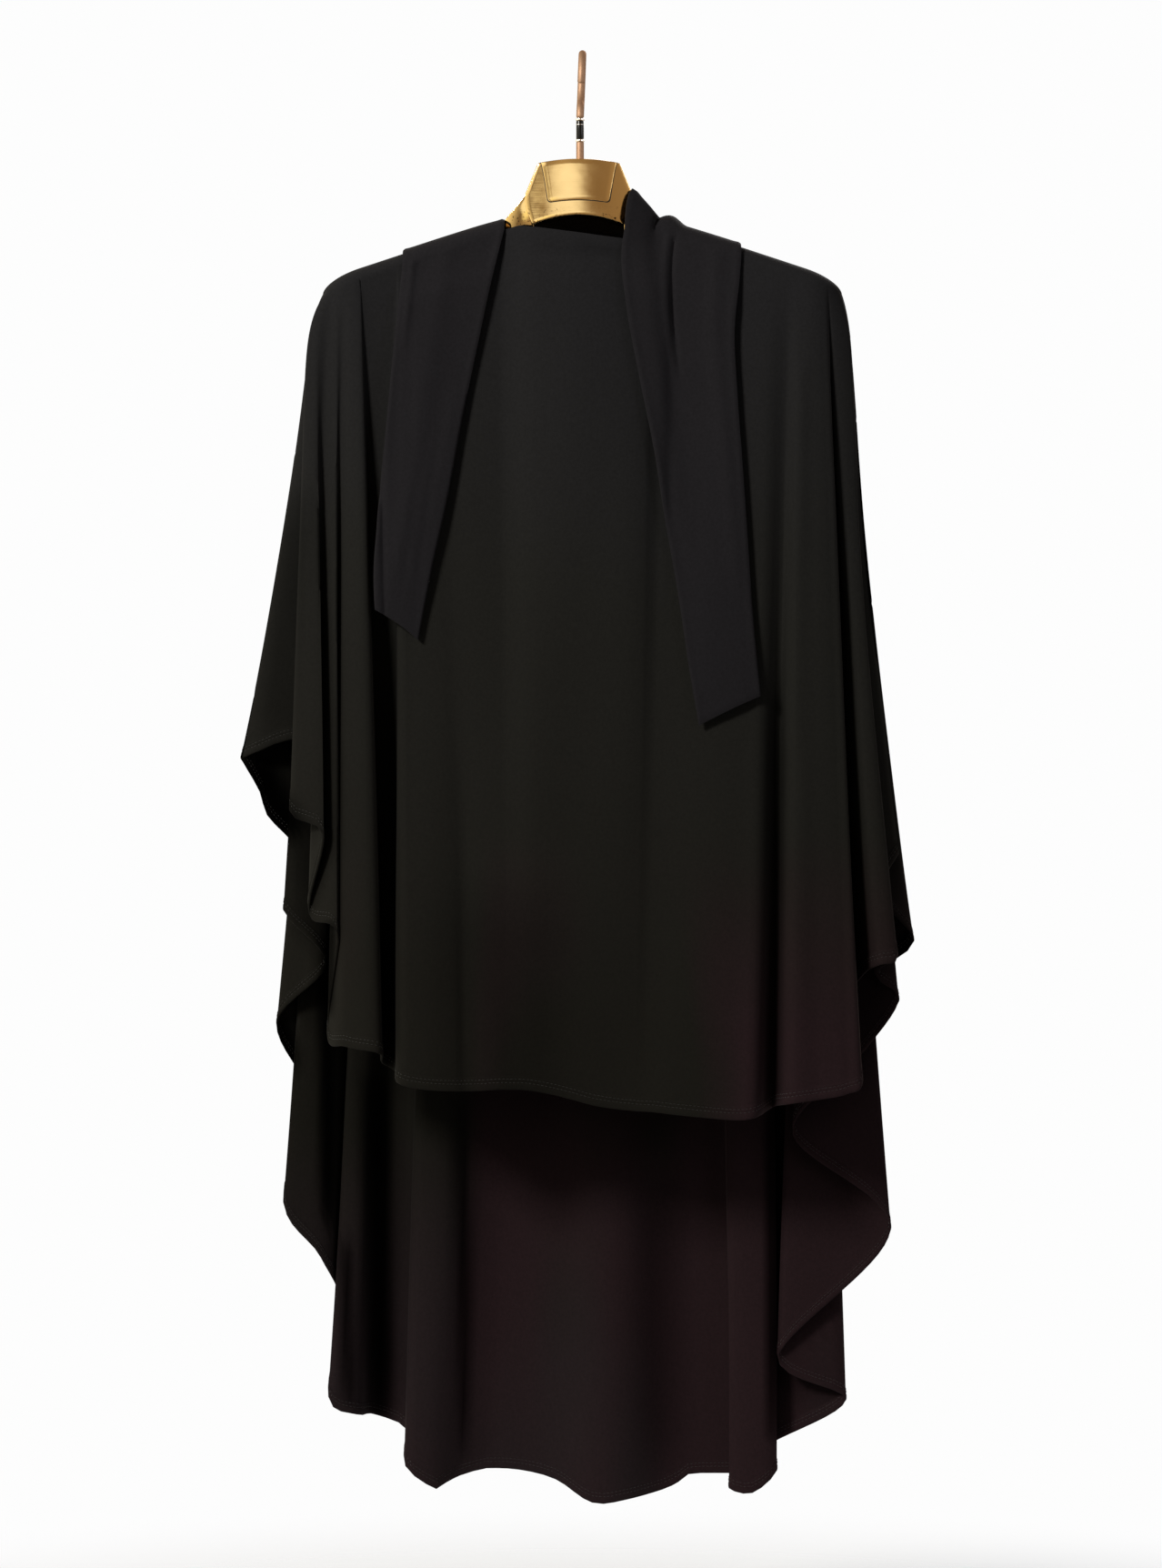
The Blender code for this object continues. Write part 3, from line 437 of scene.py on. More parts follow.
# Cape: one sheet, whose lines run from the shoulders or from the neck's rim down to the hem
cape = {
    "wall": 0.0010,               # the real jersey
    "hemHalfWidth": 0.2900, "frontDepth": 0.0650, "backDepth": 0.0850,
    "frontDrop": 0.7583, "backDrop": 1.1083,
    "opening": 0.300, "rimFrontDepth": 0.0300, "rimBackDepth": 0.0260,
    "rimDip": 0.0128, "rimTilt": 0.134, "rimRise": 0.0060,
    "bulge": 0.0200, "bulgeReach": 0.05, "bulgeFade": 1.2, "sag": 0.0058,
    "foldStep": 0.0098,           # width of one facet along the hem
    "rows": 86,                   # facets from the shoulder to the hem band
    "arcs": 9,                    # points over an arm
    "hemWall": 0.0023,            # three layers at the turned hem
    # distances from the hem of the last rows; the two stitch lines lie at the fourth and the seventh
    "hemRows": (0.0125, 0.0112, 0.0100, 0.0092, 0.0084, 0.0072, 0.0062, 0.0052, 0.0036, 0.0018, 0.0006, 0.0),
    "hemShape": (1.00, 1.05, 2.10, 1.35, 2.15, 2.20, 1.45, 2.25, 2.30, 2.20, 1.60, 0.90),   # in walls
    "stitchRows": (3, 6),
    "drift": 0.0010,              # slow unevenness of the broad faces
}

# Side, start on the shoulder, shares of the bulge and the sag, then the hem point of the front line and
# of the back line: spread, depth and drop as shares of hemHalfWidth, frontDepth or backDepth, and the drop
foldTable = (
    (-1, 1.000, 0.42, 1.0, 1.010, 0.06, 0.607, 1.01, -0.05, 0.415),
    (-1, 0.996, 0.42, 1.0, 0.945, 0.15, 0.597, 0.955, 0.05, 0.441),
    (-1, 0.992, 0.45, 1.0, 0.875, 0.22, 0.587, 0.935, 0.10, 0.459),
    (-1, 0.986, 0.60, 0.6, 0.810, 0.26, 0.592, 0.86, 0.14, 0.480),
    (-1, 0.978, 0.90, 0.0, 0.860, 0.55, 0.666, 0.80, 0.15, 0.501),
    (-1, 0.967, 0.75, 0.0, 0.758, 0.77, 0.692, 0.88, 0.02, 0.533),
    (-1, 0.953, 0.30, 0.0, 0.801, 0.43, 0.782, 0.76, 0.12, 0.575),
    (-1, 0.938, 0.10, 0.0, 0.718, 0.71, 0.803, 0.91, 0.28, 0.622),
    (-1, 0.915, 0.00, 0.0, 0.747, 0.45, 0.917, 0.80, 0.54, 0.690),
    (-1, 0.887, 0.00, 0.0, 0.690, 0.80, 0.929, 0.89, 0.40, 0.762),
    (-1, 0.855, 0.00, 0.0, 0.591, 0.92, 0.936, 0.78, 0.49, 0.805),
    (-1, 0.840, 0.00, 0.0, 0.588, 0.24, 0.950, 0.72, 0.78, 0.849),
    (-1, 0.725, 0.00, 0.0, 0.548, 0.24, 0.960, 0.76, 0.64, 0.916),
    (-1, 0.705, 0.00, 0.0, 0.540, 0.89, 0.968, 0.68, 0.71, 0.930),
    (-1, 0.686, 0.00, 0.0, 0.500, 0.97, 0.974, 0.65, 0.95, 0.932),
    (-1, 0.650, 0.00, 0.0, 0.430, 0.98, 0.977, 0.62, 1.04, 0.934),
    (-1, 0.600, 0.00, 0.0, 0.370, 0.95, 0.978, 0.53, 1.01, 0.945),
    (-1, 0.533, 0.00, 0.0, 0.330, 0.91, 0.978, 0.53, 0.73, 0.971),
    (-1, 0.425, 0.00, 0.0, 0.280, 0.97, 0.977, 0.44, 0.75, 0.989),
    (-1, 0.360, 0.00, 0.0, 0.245, 0.98, 0.976, 0.41, 0.85, 0.985),
    (-1, 0.300, 0.00, 0.0, 0.210, 0.98, 0.976, 0.37, 0.96, 0.981),
    (-1, 0.240, 0.00, 0.0, 0.180, 0.99, 0.976, 0.33, 1.00, 0.978),
    (-1, 0.170, 0.00, 0.0, 0.150, 1.00, 0.977, 0.29, 1.04, 0.976),
    (-1, 0.100, 0.00, 0.0, 0.080, 1.00, 0.982, 0.19, 1.04, 0.977),
    (-1, 0.030, 0.00, 0.0, 0.020, 1.00, 0.988, 0.08, 0.96, 0.984),
    (1, 0.050, 0.00, 0.0, 0.040, 1.00, 0.994, 0.03, 0.78, 1.000),
    (1, 0.150, 0.00, 0.0, 0.110, 1.00, 0.998, 0.13, 0.78, 0.998),
    (1, 0.220, 0.00, 0.0, 0.140, 1.00, 0.999, 0.24, 0.96, 0.992),
    (1, 0.270, 0.00, 0.0, 0.160, 1.00, 1.000, 0.29, 0.98, 0.986),
    (1, 0.300, 0.00, 0.0, 0.170, 1.00, 1.000, 0.32, 0.99, 0.980),
    (1, 0.360, 0.00, 0.0, 0.210, 1.00, 1.001, 0.40, 0.97, 0.979),
    (1, 0.429, 0.00, 0.0, 0.250, 1.00, 1.003, 0.47, 0.92, 0.980),
    (1, 0.561, 0.00, 0.0, 0.350, 1.00, 1.007, 0.44, 0.71, 0.988),
    (1, 0.665, 0.00, 0.0, 0.450, 1.00, 1.010, 0.51, 0.65, 0.991),
    (1, 0.731, 0.00, 0.0, 0.505, 0.97, 1.007, 0.58, 0.68, 0.974),
    (1, 0.790, 0.00, 0.0, 0.555, 0.57, 0.998, 0.55, 0.89, 0.958),
    (1, 0.835, 0.00, 0.0, 0.602, 0.99, 0.992, 0.79, 0.71, 0.919),
    (1, 0.880, 0.00, 0.0, 0.690, 1.00, 0.987, 0.59, 0.56, 0.882),
    (1, 0.912, 0.00, 0.0, 0.770, 0.97, 0.981, 0.92, 0.45, 0.783),
    (1, 0.932, 0.00, 0.0, 0.813, 0.88, 0.966, 0.63, 0.33, 0.709),
    (1, 0.944, 0.00, 0.1, 0.772, 0.25, 0.890, 0.80, 0.26, 0.655),
    (1, 0.952, 0.10, 0.3, 0.825, 0.50, 0.849, 0.94, 0.21, 0.604),
    (1, 0.978, 0.45, 1.0, 0.870, 0.72, 0.838, 0.87, 0.15, 0.583),
    (1, 0.988, 0.50, 1.0, 0.920, 0.68, 0.828, 0.98, 0.04, 0.557),
    (1, 0.995, 0.42, 0.8, 0.870, 0.37, 0.761, 0.88, -0.05, 0.521),
    (1, 1.000, 0.33, 0.6, 0.930, 0.18, 0.715, 0.93, -0.14, 0.490),
)

# Soft creases pressed into the cloth: front or back, then x and z of its two ends, half width, height
creaseTable = (
    (True, -0.101, -0.600, -0.101, -0.885, 0.0030, -0.0012),
    (True, -0.089, -0.830, -0.089, -0.885, 0.0022, -0.0009),
    (True, -0.050, -0.168, 0.035, -0.176, 0.0040, -0.0016),
    (True, 0.000, -0.166, 0.040, -0.178, 0.0028, -0.0022),
    (True, -0.060, -0.176, 0.036, -0.185, 0.0025, -0.0010),
    (True, 0.186, -0.270, 0.179, -0.590, 0.0060, 0.0016),
    (True, -0.118, -0.300, -0.150, -0.480, 0.0070, 0.0015),
    (False, -0.112, -0.930, -0.112, -1.215, 0.0040, -0.0022),
    (False, -0.096, -1.050, -0.096, -1.215, 0.0030, -0.0012),
)


# Painted shade: dark strips multiplied into the cloth's colour in the folds that light hardly enters, laid out
# like the creases: half width, strength
paintedShadeTable = (
    (False, -0.2213, -0.760, -0.2205, -1.000, 0.0060, 2.6),
    (False, -0.2050, -1.020, -0.2040, -1.160, 0.0050, 1.6),
    (False, -0.1810, -0.880, -0.1760, -1.170, 0.0100, 2.4),
    (False, -0.1050, -0.900, -0.1030, -1.210, 0.0060, 1.0),
    (False, 0.0700, -0.980, 0.0700, -1.220, 0.0200, 0.5),
    (False, 0.1636, -0.900, 0.1650, -1.190, 0.0040, 1.6),
    (False, -0.2850, -0.600, -0.2500, -0.665, 0.0140, 3.0),
    (False, 0.2800, -0.752, 0.2680, -0.770, 0.0070, 3.0),
    (False, -0.2620, -0.825, -0.2530, -0.868, 0.0080, 2.6),
    (False, -0.2130, -0.742, -0.2150, -0.815, 0.0045, 1.6),
    (True, 0.1640, -0.560, 0.1620, -0.880, 0.0080, 0.6),
    (True, -0.2420, -0.380, -0.2660, -0.590, 0.0140, 0.5),
    (True, -0.0620, -0.720, -0.0620, -0.930, 0.0600, 0.40),
    (True, -0.2880, -0.614, -0.2500, -0.668, 0.0150, 3.0),
    (True, -0.2130, -0.742, -0.2150, -0.815, 0.0045, 1.6),
)


def rimDepth(share, front):
    edge = shoulderSize(cape["opening"])[0]
    bow = math.sqrt(max(0.0, 1.0 - (share / cape["opening"]) ** 2))
    return mix(edge, cape["rimFrontDepth"] if front else cape["rimBackDepth"], bow)


def topPoint(side, share, front):
    point = shoulderPoint(side, share, 0 if front else 180)
    if share >= cape["opening"]:
        return point
    across = share / cape["opening"]
    bow = math.sqrt(1.0 - across * across)
    if front:
        point.y = -rimDepth(share, True)
        level = shoulder["top"] - cape["rimDip"] - cape["rimTilt"] * point.x
        point.z = mix(point.z, level, 1.0 - (1.0 - bow) ** 2)
    else:
        point.y = rimDepth(share, False)
        point.z += cape["rimRise"] * bow
    return point


def hemPoint(side, spread, depth, drop, front):
    forward = -depth * cape["frontDepth"] if front else depth * cape["backDepth"]
    return Vector((side * spread * cape["hemHalfWidth"], forward,
                   shoulder["top"] - drop * (cape["frontDrop"] if front else cape["backDrop"])))


def curveThrough(points, steps):
    result = []
    for i in range(len(points) - 1):
        before, start = points[max(i - 1, 0)], points[i]
        end, after = points[i + 1], points[min(i + 2, len(points) - 1)]
        for k in range(steps[i]):
            t = k / steps[i]
            result.append(0.5 * ((2 * start) + (end - before) * t
                                 + (2 * before - 5 * start + 4 * end - after) * t * t
                                 + (3 * start - 3 * end + after - before) * t * t * t))
    result.append(points[-1])
    return result


def lineEnds():
    # where each line starts, as (side, share, bulge, sag), and its hem point, in front and behind
    tops = []
    hems = {True: [], False: []}
    for side, start, bulge, sag, *shape in foldTable:
        tops.append(Vector((side * start, bulge, sag)))
        hems[True].append(hemPoint(side, *shape[:3], True))
        hems[False].append(hemPoint(side, *shape[3:], False))
    for where in (0, -1):
        hems[False][where] = hems[True][where].copy()
    steps = []
    for i in range(len(foldTable) - 1):
        longest = max((hems[front][i + 1] - hems[front][i]).length for front in (True, False))
        steps.append(max(1, round(longest / cape["foldStep"])))
    starts = [(1 if place.x > 0 else -1, min(1.0, abs(place.x)), place.y, place.z)
              for place in curveThrough(tops, steps)]
    return {front: list(zip(starts, curveThrough(hems[front], steps))) for front in (True, False)}


def lineShares(length):
    band = cape["hemRows"][0] / length
    upper = (np.arange(cape["rows"]) / cape["rows"]) ** 1.25 * (1.0 - band)
    return np.concatenate([upper, 1.0 - np.array(cape["hemRows"]) / length])


def capeColumn(start, low, front):
    side, share, bulge, sag = start
    top = topPoint(side, share, front)
    v = lineShares((low - top).length)
    swell = (1.0 - np.exp(-v / cape["bulgeReach"])) * (1.0 - v) ** cape["bulgeFade"]
    out = bulge * cape["bulge"] * swell - sag * cape["sag"] * 4 * v * (1.0 - v)
    return np.stack([mix(top.x, low.x, v) + side * out, mix(top.y, low.y, v), mix(top.z, low.z, v)], axis=1)


def gridNormals(grid, closed):
    # outward normals of a grid of columns by rows
    if closed:
        along = np.roll(grid, -1, axis=0) - np.roll(grid, 1, axis=0)
    else:
        along = np.gradient(grid, axis=0)
    down = np.gradient(grid, axis=1)
    normals = np.cross(down, along)
    return normals / np.maximum(np.linalg.norm(normals, axis=2, keepdims=True), 1e-12)


def alongStrips(table, points, front):
    # the sum of the soft strips of a table at the points of the front or the back
    lift = np.zeros(points.shape[:-1])
    for onFront, x0, z0, x1, z1, half, height in table:
        if onFront != front:
            continue
        run = np.array([x1 - x0, z1 - z0])
        away = np.stack([points[..., 0] - x0, points[..., 2] - z0], axis=-1)
        t = (away @ run) / (run @ run)
        gap = np.linalg.norm(away - np.clip(t, 0, 1)[..., None] * run, axis=-1)
        ends = np.clip((t + 0.15) / 0.3, 0, 1) * np.clip((1.15 - t) / 0.3, 0, 1)
        lift += height * ends * np.exp(-(gap / half) ** 2)
    return lift


def capeGrid():
    ends = lineEnds()
    columns = []
    fronts = []
    for front, order in ((True, 1), (False, -1)):
        for start, low in ends[front][::order]:
            columns.append(capeColumn(start, low, front))
            fronts.append(front)
    grid = np.array(columns)
    fronts = np.array(fronts)
    normals = gridNormals(grid, True)
    # a slow drift keeps the broad faces from looking flat
    drift = (np.sin(grid[..., 0] * 41 + grid[..., 2] * 5.3) * np.sin(grid[..., 2] * 9.1 + 1.7)
             + 0.6 * np.sin(grid[..., 0] * 83 - grid[..., 2] * 7.7 + 0.4))
    lift = cape["drift"] * drift * np.clip((shoulder["top"] - grid[..., 2]) / 0.25, 0, 1)
    # painted shade of the strips, for the cloth's colour
    shade = np.zeros(grid.shape[:2])
    for front, chosen in ((True, fronts), (False, ~fronts)):
        lift[chosen] += alongStrips(creaseTable, grid[chosen], front)
        shade[chosen] += alongStrips(paintedShadeTable, grid[chosen], front)
    grid = grid + normals * lift[..., None]
    return ends, grid, np.exp(-shade)


def castShade(data, tree):
    # how much of the studio's light can reach each corner, felt with rays and evened out: painted shade, later
    # multiplied into the cloth's colour
    count = len(data.vertices)
    places = np.array([v.co for v in data.vertices])
    normals = np.array([v.normal for v in data.vertices])
    lamp = Vector((-0.45, -0.75, 0.50)).normalized()
    light = np.zeros(count)
    most = np.zeros(count)
    for k in range(shadeRays["count"]):
        height = 1 - 2 * (k + 0.5) / shadeRays["count"]
        angle = k * math.pi * (3 - math.sqrt(5))
        ring = math.sqrt(1 - height * height)
        way = Vector((ring * math.cos(angle), ring * math.sin(angle), height))
        weight = shadeRays["even"] + max(0.0, way.dot(lamp))
        facing = normals @ np.array(way)
        for i in np.nonzero(facing > 0.1)[0]:
            most[i] += weight * facing[i]
            start = Vector(places[i] + normals[i] * shadeRays["offset"])
            if tree.ray_cast(start, way, shadeRays["reach"])[0] is None:
                light[i] += weight * facing[i]
    open = light / np.maximum(most, 1e-6)
    edges = np.array([e.vertices for e in data.edges])
    for _ in range(shadeRays["rounds"]):
        total = open.copy()
        near = np.ones(count)
        for a, b in ((0, 1), (1, 0)):
            np.add.at(total, edges[:, a], open[edges[:, b]])
            np.add.at(near, edges[:, a], 1)
        open = total / near
    return shadeRays["least"] + (1 - shadeRays["least"]) * np.clip(open * 1.25, 0, 1) ** 1.2


shadeRays = {"count": 22, "even": 0.25, "offset": 0.0025, "reach": 0.25, "rounds": 5, "least": 0.12}


def closedSheet(name, points, faces, walls, material, smoothAngle, shades=None):
    # a middle sheet given its wall, half to each side, and closed round its edges
    sheet = bmesh.new()
    layer = sheet.verts.layers.float.new("wall")
    # the tone layer carries the painted shade of the fold strips
    tone = sheet.verts.layers.float.new("tone")
    corners = []
    for place, wall, shade in zip(points, walls, shades or [1.0] * len(points)):
        corner = sheet.verts.new(place)
        corner[layer] = wall
        corner[tone] = shade
        corners.append(corner)
    for face in faces:
        sheet.faces.new([corners[i] for i in face])
    bmesh.ops.remove_doubles(sheet, verts=sheet.verts, dist=1e-5)
    bmesh.ops.dissolve_degenerate(sheet, edges=sheet.edges, dist=1e-6)
    bmesh.ops.recalc_face_normals(sheet, faces=sheet.faces)
    sheet.normal_update()
    sheet.verts.ensure_lookup_table()
    sheet.verts.index_update()
    count = len(sheet.verts)
    outer = [v.co + v.normal * v[layer] / 2 for v in sheet.verts]
    inner = [v.co - v.normal * v[layer] / 2 for v in sheet.verts]
    paintedStripShades = np.array([v[tone] for v in sheet.verts] * 2)
    solid = []
    for face in sheet.faces:
        ring = [v.index for v in face.verts]
        solid.append(ring)
        solid.append([i + count for i in reversed(ring)])
    for edge in sheet.edges:
        if len(edge.link_faces) == 1:
            loop = edge.link_loops[0]
            a, b = loop.vert.index, loop.link_loop_next.vert.index
            solid.append([b, a, a + count, b + count])
    tree = BVHTree.FromBMesh(sheet)
    sheet.free()
    data = bpy.data.meshes.new(name)
    data.from_pydata([tuple(v) for v in outer + inner], [], solid)
    data.materials.append(material)
    cleanUp = bmesh.new()
    cleanUp.from_mesh(data)
    bmesh.ops.recalc_face_normals(cleanUp, faces=cleanUp.faces)
    cleanUp.to_mesh(data)
    cleanUp.free()
    # painted shade: the light felt by rays times the painted fold strips, multiplied into the cloth's colour
    attribute = data.attributes.new("paintedFoldShade", "FLOAT", "POINT")
    attribute.data.foreach_set("value", castShade(data, tree) * paintedStripShades)
    data.shade_smooth()
    data.set_sharp_from_angle(angle=math.radians(smoothAngle))
    piece = bpy.data.objects.new(name, data)
    bpy.context.scene.collection.objects.link(piece)
    return piece, tree


def buildCape():
    ends, grid, shade = capeGrid()
    total, high = grid.shape[:2]
    count = len(ends[True])
    points = [Vector(p) for p in grid.reshape(-1, 3)]
    walls = np.full((total, high), cape["wall"])
    walls[:, cape["rows"]:] = cape["wall"] * np.array(cape["hemShape"])
    for c in range(total):
        start = ends[True][c if c < count else total - 1 - c][0]
        if start[1] < cape["opening"]:
            walls[c, :4] = cape["wall"] * np.array((1.4, 2.0, 1.9, 1.3))
    walls = list(walls.ravel())
    # painted shade for each corner of the cape
    shades = list(shade.ravel())
    faces = []
    for c in range(total):
        after = (c + 1) % total
        for i in range(high - 1):
            faces.append((c * high + i, after * high + i, after * high + i + 1, c * high + i + 1))
    arcs = {}
    for c, ((side, share, _, _), _) in enumerate(ends[True]):
        if share < cape["opening"] - 1e-6:
            continue
        chain = [c * high]
        for k in range(cape["arcs"]):
            chain.append(len(points))
            points.append(shoulderPoint(side, share, 180 * (k + 1) / (cape["arcs"] + 1)))
            walls.append(cape["wall"])
            shades.append(1.0)
        chain.append((total - 1 - c) * high)
        arcs[c] = chain
    for c in arcs:
        if c + 1 in arcs:
            for k in range(cape["arcs"] + 1):
                faces.append((arcs[c][k], arcs[c][k + 1], arcs[c + 1][k + 1], arcs[c + 1][k]))
    piece, tree = closedSheet("cape_cloth", points, faces, walls, capeCloth, 70, shades)
    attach(piece, "root")
    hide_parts("veil_cape")
    say("cape: %d columns, %d triangles" % (total, sum(len(p.vertices) - 2 for p in piece.data.polygons)))
    return piece, tree, grid


# Stitching: twin needle rows along the hem, outside and inside
stitching = {"pitch": 0.0034, "length": 0.0026, "thread": 0.00042}


def stitchRow(line, normals, height):
    # one small double cone for each stitch along a line on the cloth
    steps = np.linalg.norm(np.diff(line, axis=0), axis=1)
    run = np.concatenate([[0], np.cumsum(steps)])
    places = np.arange(stitching["pitch"], run[-1] - stitching["pitch"], stitching["pitch"])
    centre = np.stack([np.interp(places, run, line[:, k]) for k in range(3)], axis=1)
    ahead = np.stack([np.interp(places + 0.001, run, line[:, k]) for k in range(3)], axis=1) - centre
    ahead /= np.linalg.norm(ahead, axis=1, keepdims=True)
    up = np.stack([np.interp(places, run, normals[:, k]) for k in range(3)], axis=1)
    up /= np.linalg.norm(up, axis=1, keepdims=True)
    across = np.cross(ahead, up)
    centre = centre + up * height
    half = stitching["thread"] / 2
    tips = [ahead * stitching["length"] / 2, -ahead * stitching["length"] / 2,
            across * half, -across * half, up * half, -up * half]
    vertices = np.stack([centre + tip for tip in tips], axis=1).reshape(-1, 3)
    faces = []
    for n in range(len(places)):
        first = n * 6
        for a, b, c in ((0, 2, 4), (0, 4, 3), (0, 3, 5), (0, 5, 2), (1, 4, 2), (1, 3, 4), (1, 5, 3), (1, 2, 5)):
            faces.append((first + a, first + b, first + c))
    return vertices, faces


def buildHemStitching(grid):
    normals = gridNormals(grid, True)
    vertices = []
    faces = []
    count = 0
    for row in cape["stitchRows"]:
        index = cape["rows"] + row
        line = np.concatenate([grid[:, index], grid[:1, index]])
        out = np.concatenate([normals[:, index], normals[:1, index]])
        lift = cape["wall"] * cape["hemShape"][row] / 2
        for way in (1, -1):
            places, rings = stitchRow(line, out * way, lift)
            vertices.append(places)
            faces += [tuple(i + count for i in ring) for ring in rings]
            count += len(places)
    data = bpy.data.meshes.new("hem_stitching")
    data.from_pydata([tuple(p) for p in np.concatenate(vertices)], [], faces)
    data.materials.append(threadBlack)
    cleanUp = bmesh.new()
    cleanUp.from_mesh(data)
    bmesh.ops.recalc_face_normals(cleanUp, faces=cleanUp.faces)
    cleanUp.to_mesh(data)
    cleanUp.free()
    data.shade_smooth()
    piece = bpy.data.objects.new("hem_stitching", data)
    bpy.context.scene.collection.objects.link(piece)
    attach(piece, "root")
    say("hem stitching: %d triangles" % len(data.polygons))
    return piece


capePiece, capeTree, capePoints = buildCape()
hemStitching = buildHemStitching(capePoints)


# Ties: two doubled strips that go up behind the shoulders, over them and down in front
tie = {
    "wall": 0.0022, "edgeWall": 0.0030, "edgeWidth": 0.0045,
    "behind": 0.0300, "behindLean": 0.0060, "seat": 0.0028, "stand": 0.0052, "feel": 0.0120, "ease": 0.12,
    "peak": 0.0055, "peakPlace": 0.345, "peakReach": 0.060, "rimCorner": 0.3,
    "columns": 45, "rows": 120, "over": 12,
}
# Share of the drop, then the outer and the inner edge as shares of the shoulder's half width
leftTie = {
    "side": -1, "drop": 0.3600, "slant": 0.080, "peak": 0.0, "crownInner": 0.300,
    "edges": ((0.000, 0.690, 0.300), (0.127, 0.708, 0.349), (0.273, 0.730, 0.398), (0.464, 0.755, 0.460),
              (0.678, 0.783, 0.523), (0.818, 0.797, 0.572), (1.000, 0.785, 0.627)),
    # ridges and pinches: share across from the outer edge at the top and at the foot, the shares of the
    # drop between which they run, half width and height in metres
    "ridges": ((0.10, 0.16, 0.0, 0.28, 0.0035, 0.0016), (0.45, 0.42, 0.0, 0.9, 0.0110, 0.0011)),
}
rightTie = {
    "side": 1, "drop": 0.4325, "slant": 0.0625, "peak": 0.0055, "crownInner": 0.200,
    "edges": ((0.000, 0.610, 0.163), (0.050, 0.603, 0.150), (0.150, 0.584, 0.165), (0.300, 0.594, 0.216),
              (0.450, 0.613, 0.274), (0.600, 0.631, 0.320), (0.750, 0.649, 0.369), (0.875, 0.669, 0.404),
              (1.000, 0.692, 0.444)),
    "ridges": ((0.57, 0.60, 0.0, 0.32, 0.0022, -0.0018), (0.62, 0.66, 0.0, 0.34, 0.0030, 0.0016),
               (0.20, 0.16, 0.0, 0.8, 0.0070, 0.0012), (0.78, 0.80, 0.02, 0.7, 0.0080, 0.0010)),
}


def edgeAt(edges, share):
    # the edges run on smoothly from one place of the table to the next
    shares = np.array([row[0] for row in edges])
    found = []
    for column in (1, 2):
        values = np.array([row[column] for row in edges])
        slopes = np.gradient(values, shares)
        i = int(np.clip(np.searchsorted(shares, share) - 1, 0, len(shares) - 2))
        wide = shares[i + 1] - shares[i]
        t = (share - shares[i]) / wide
        found.append((1 + 2 * t) * (1 - t) ** 2 * values[i] + t * (1 - t) ** 2 * wide * slopes[i]
                     + t * t * (3 - 2 * t) * values[i + 1] - t * t * (1 - t) * wide * slopes[i + 1])
    return found


def clothFront(x, z):
    hit = capeTree.ray_cast(Vector((x, -1.0, z)), Vector((0, 1, 0)))[0]
    return hit.y if hit else 0.0


def tieOver(side, share, turn, peak):
    proud = tie["seat"]
    point = shoulderPoint(side, share, turn, proud)
    forward = math.cos(math.radians(turn))
    if share < cape["opening"]:
        reach = rimDepth(share, turn < 90) + proud
        point.y = -reach * math.copysign(abs(forward) ** tie["rimCorner"], forward)
    away = min(1.0, abs(share - tie["peakPlace"]) / tie["peakReach"])
    rise = armFlare(share) + peak * (1.0 + math.cos(math.pi * away)) / 2
    point.z += rise * math.sin(math.radians(turn))
    return point


def smoothed(values, rounds):
    for _ in range(rounds):
        padded = np.pad(values, 1, mode="edge")
        values = (padded[:-2, 1:-1] + padded[2:, 1:-1] + padded[1:-1, :-2] + padded[1:-1, 2:]
                  + 2 * padded[1:-1, 1:-1]) / 6
    return values


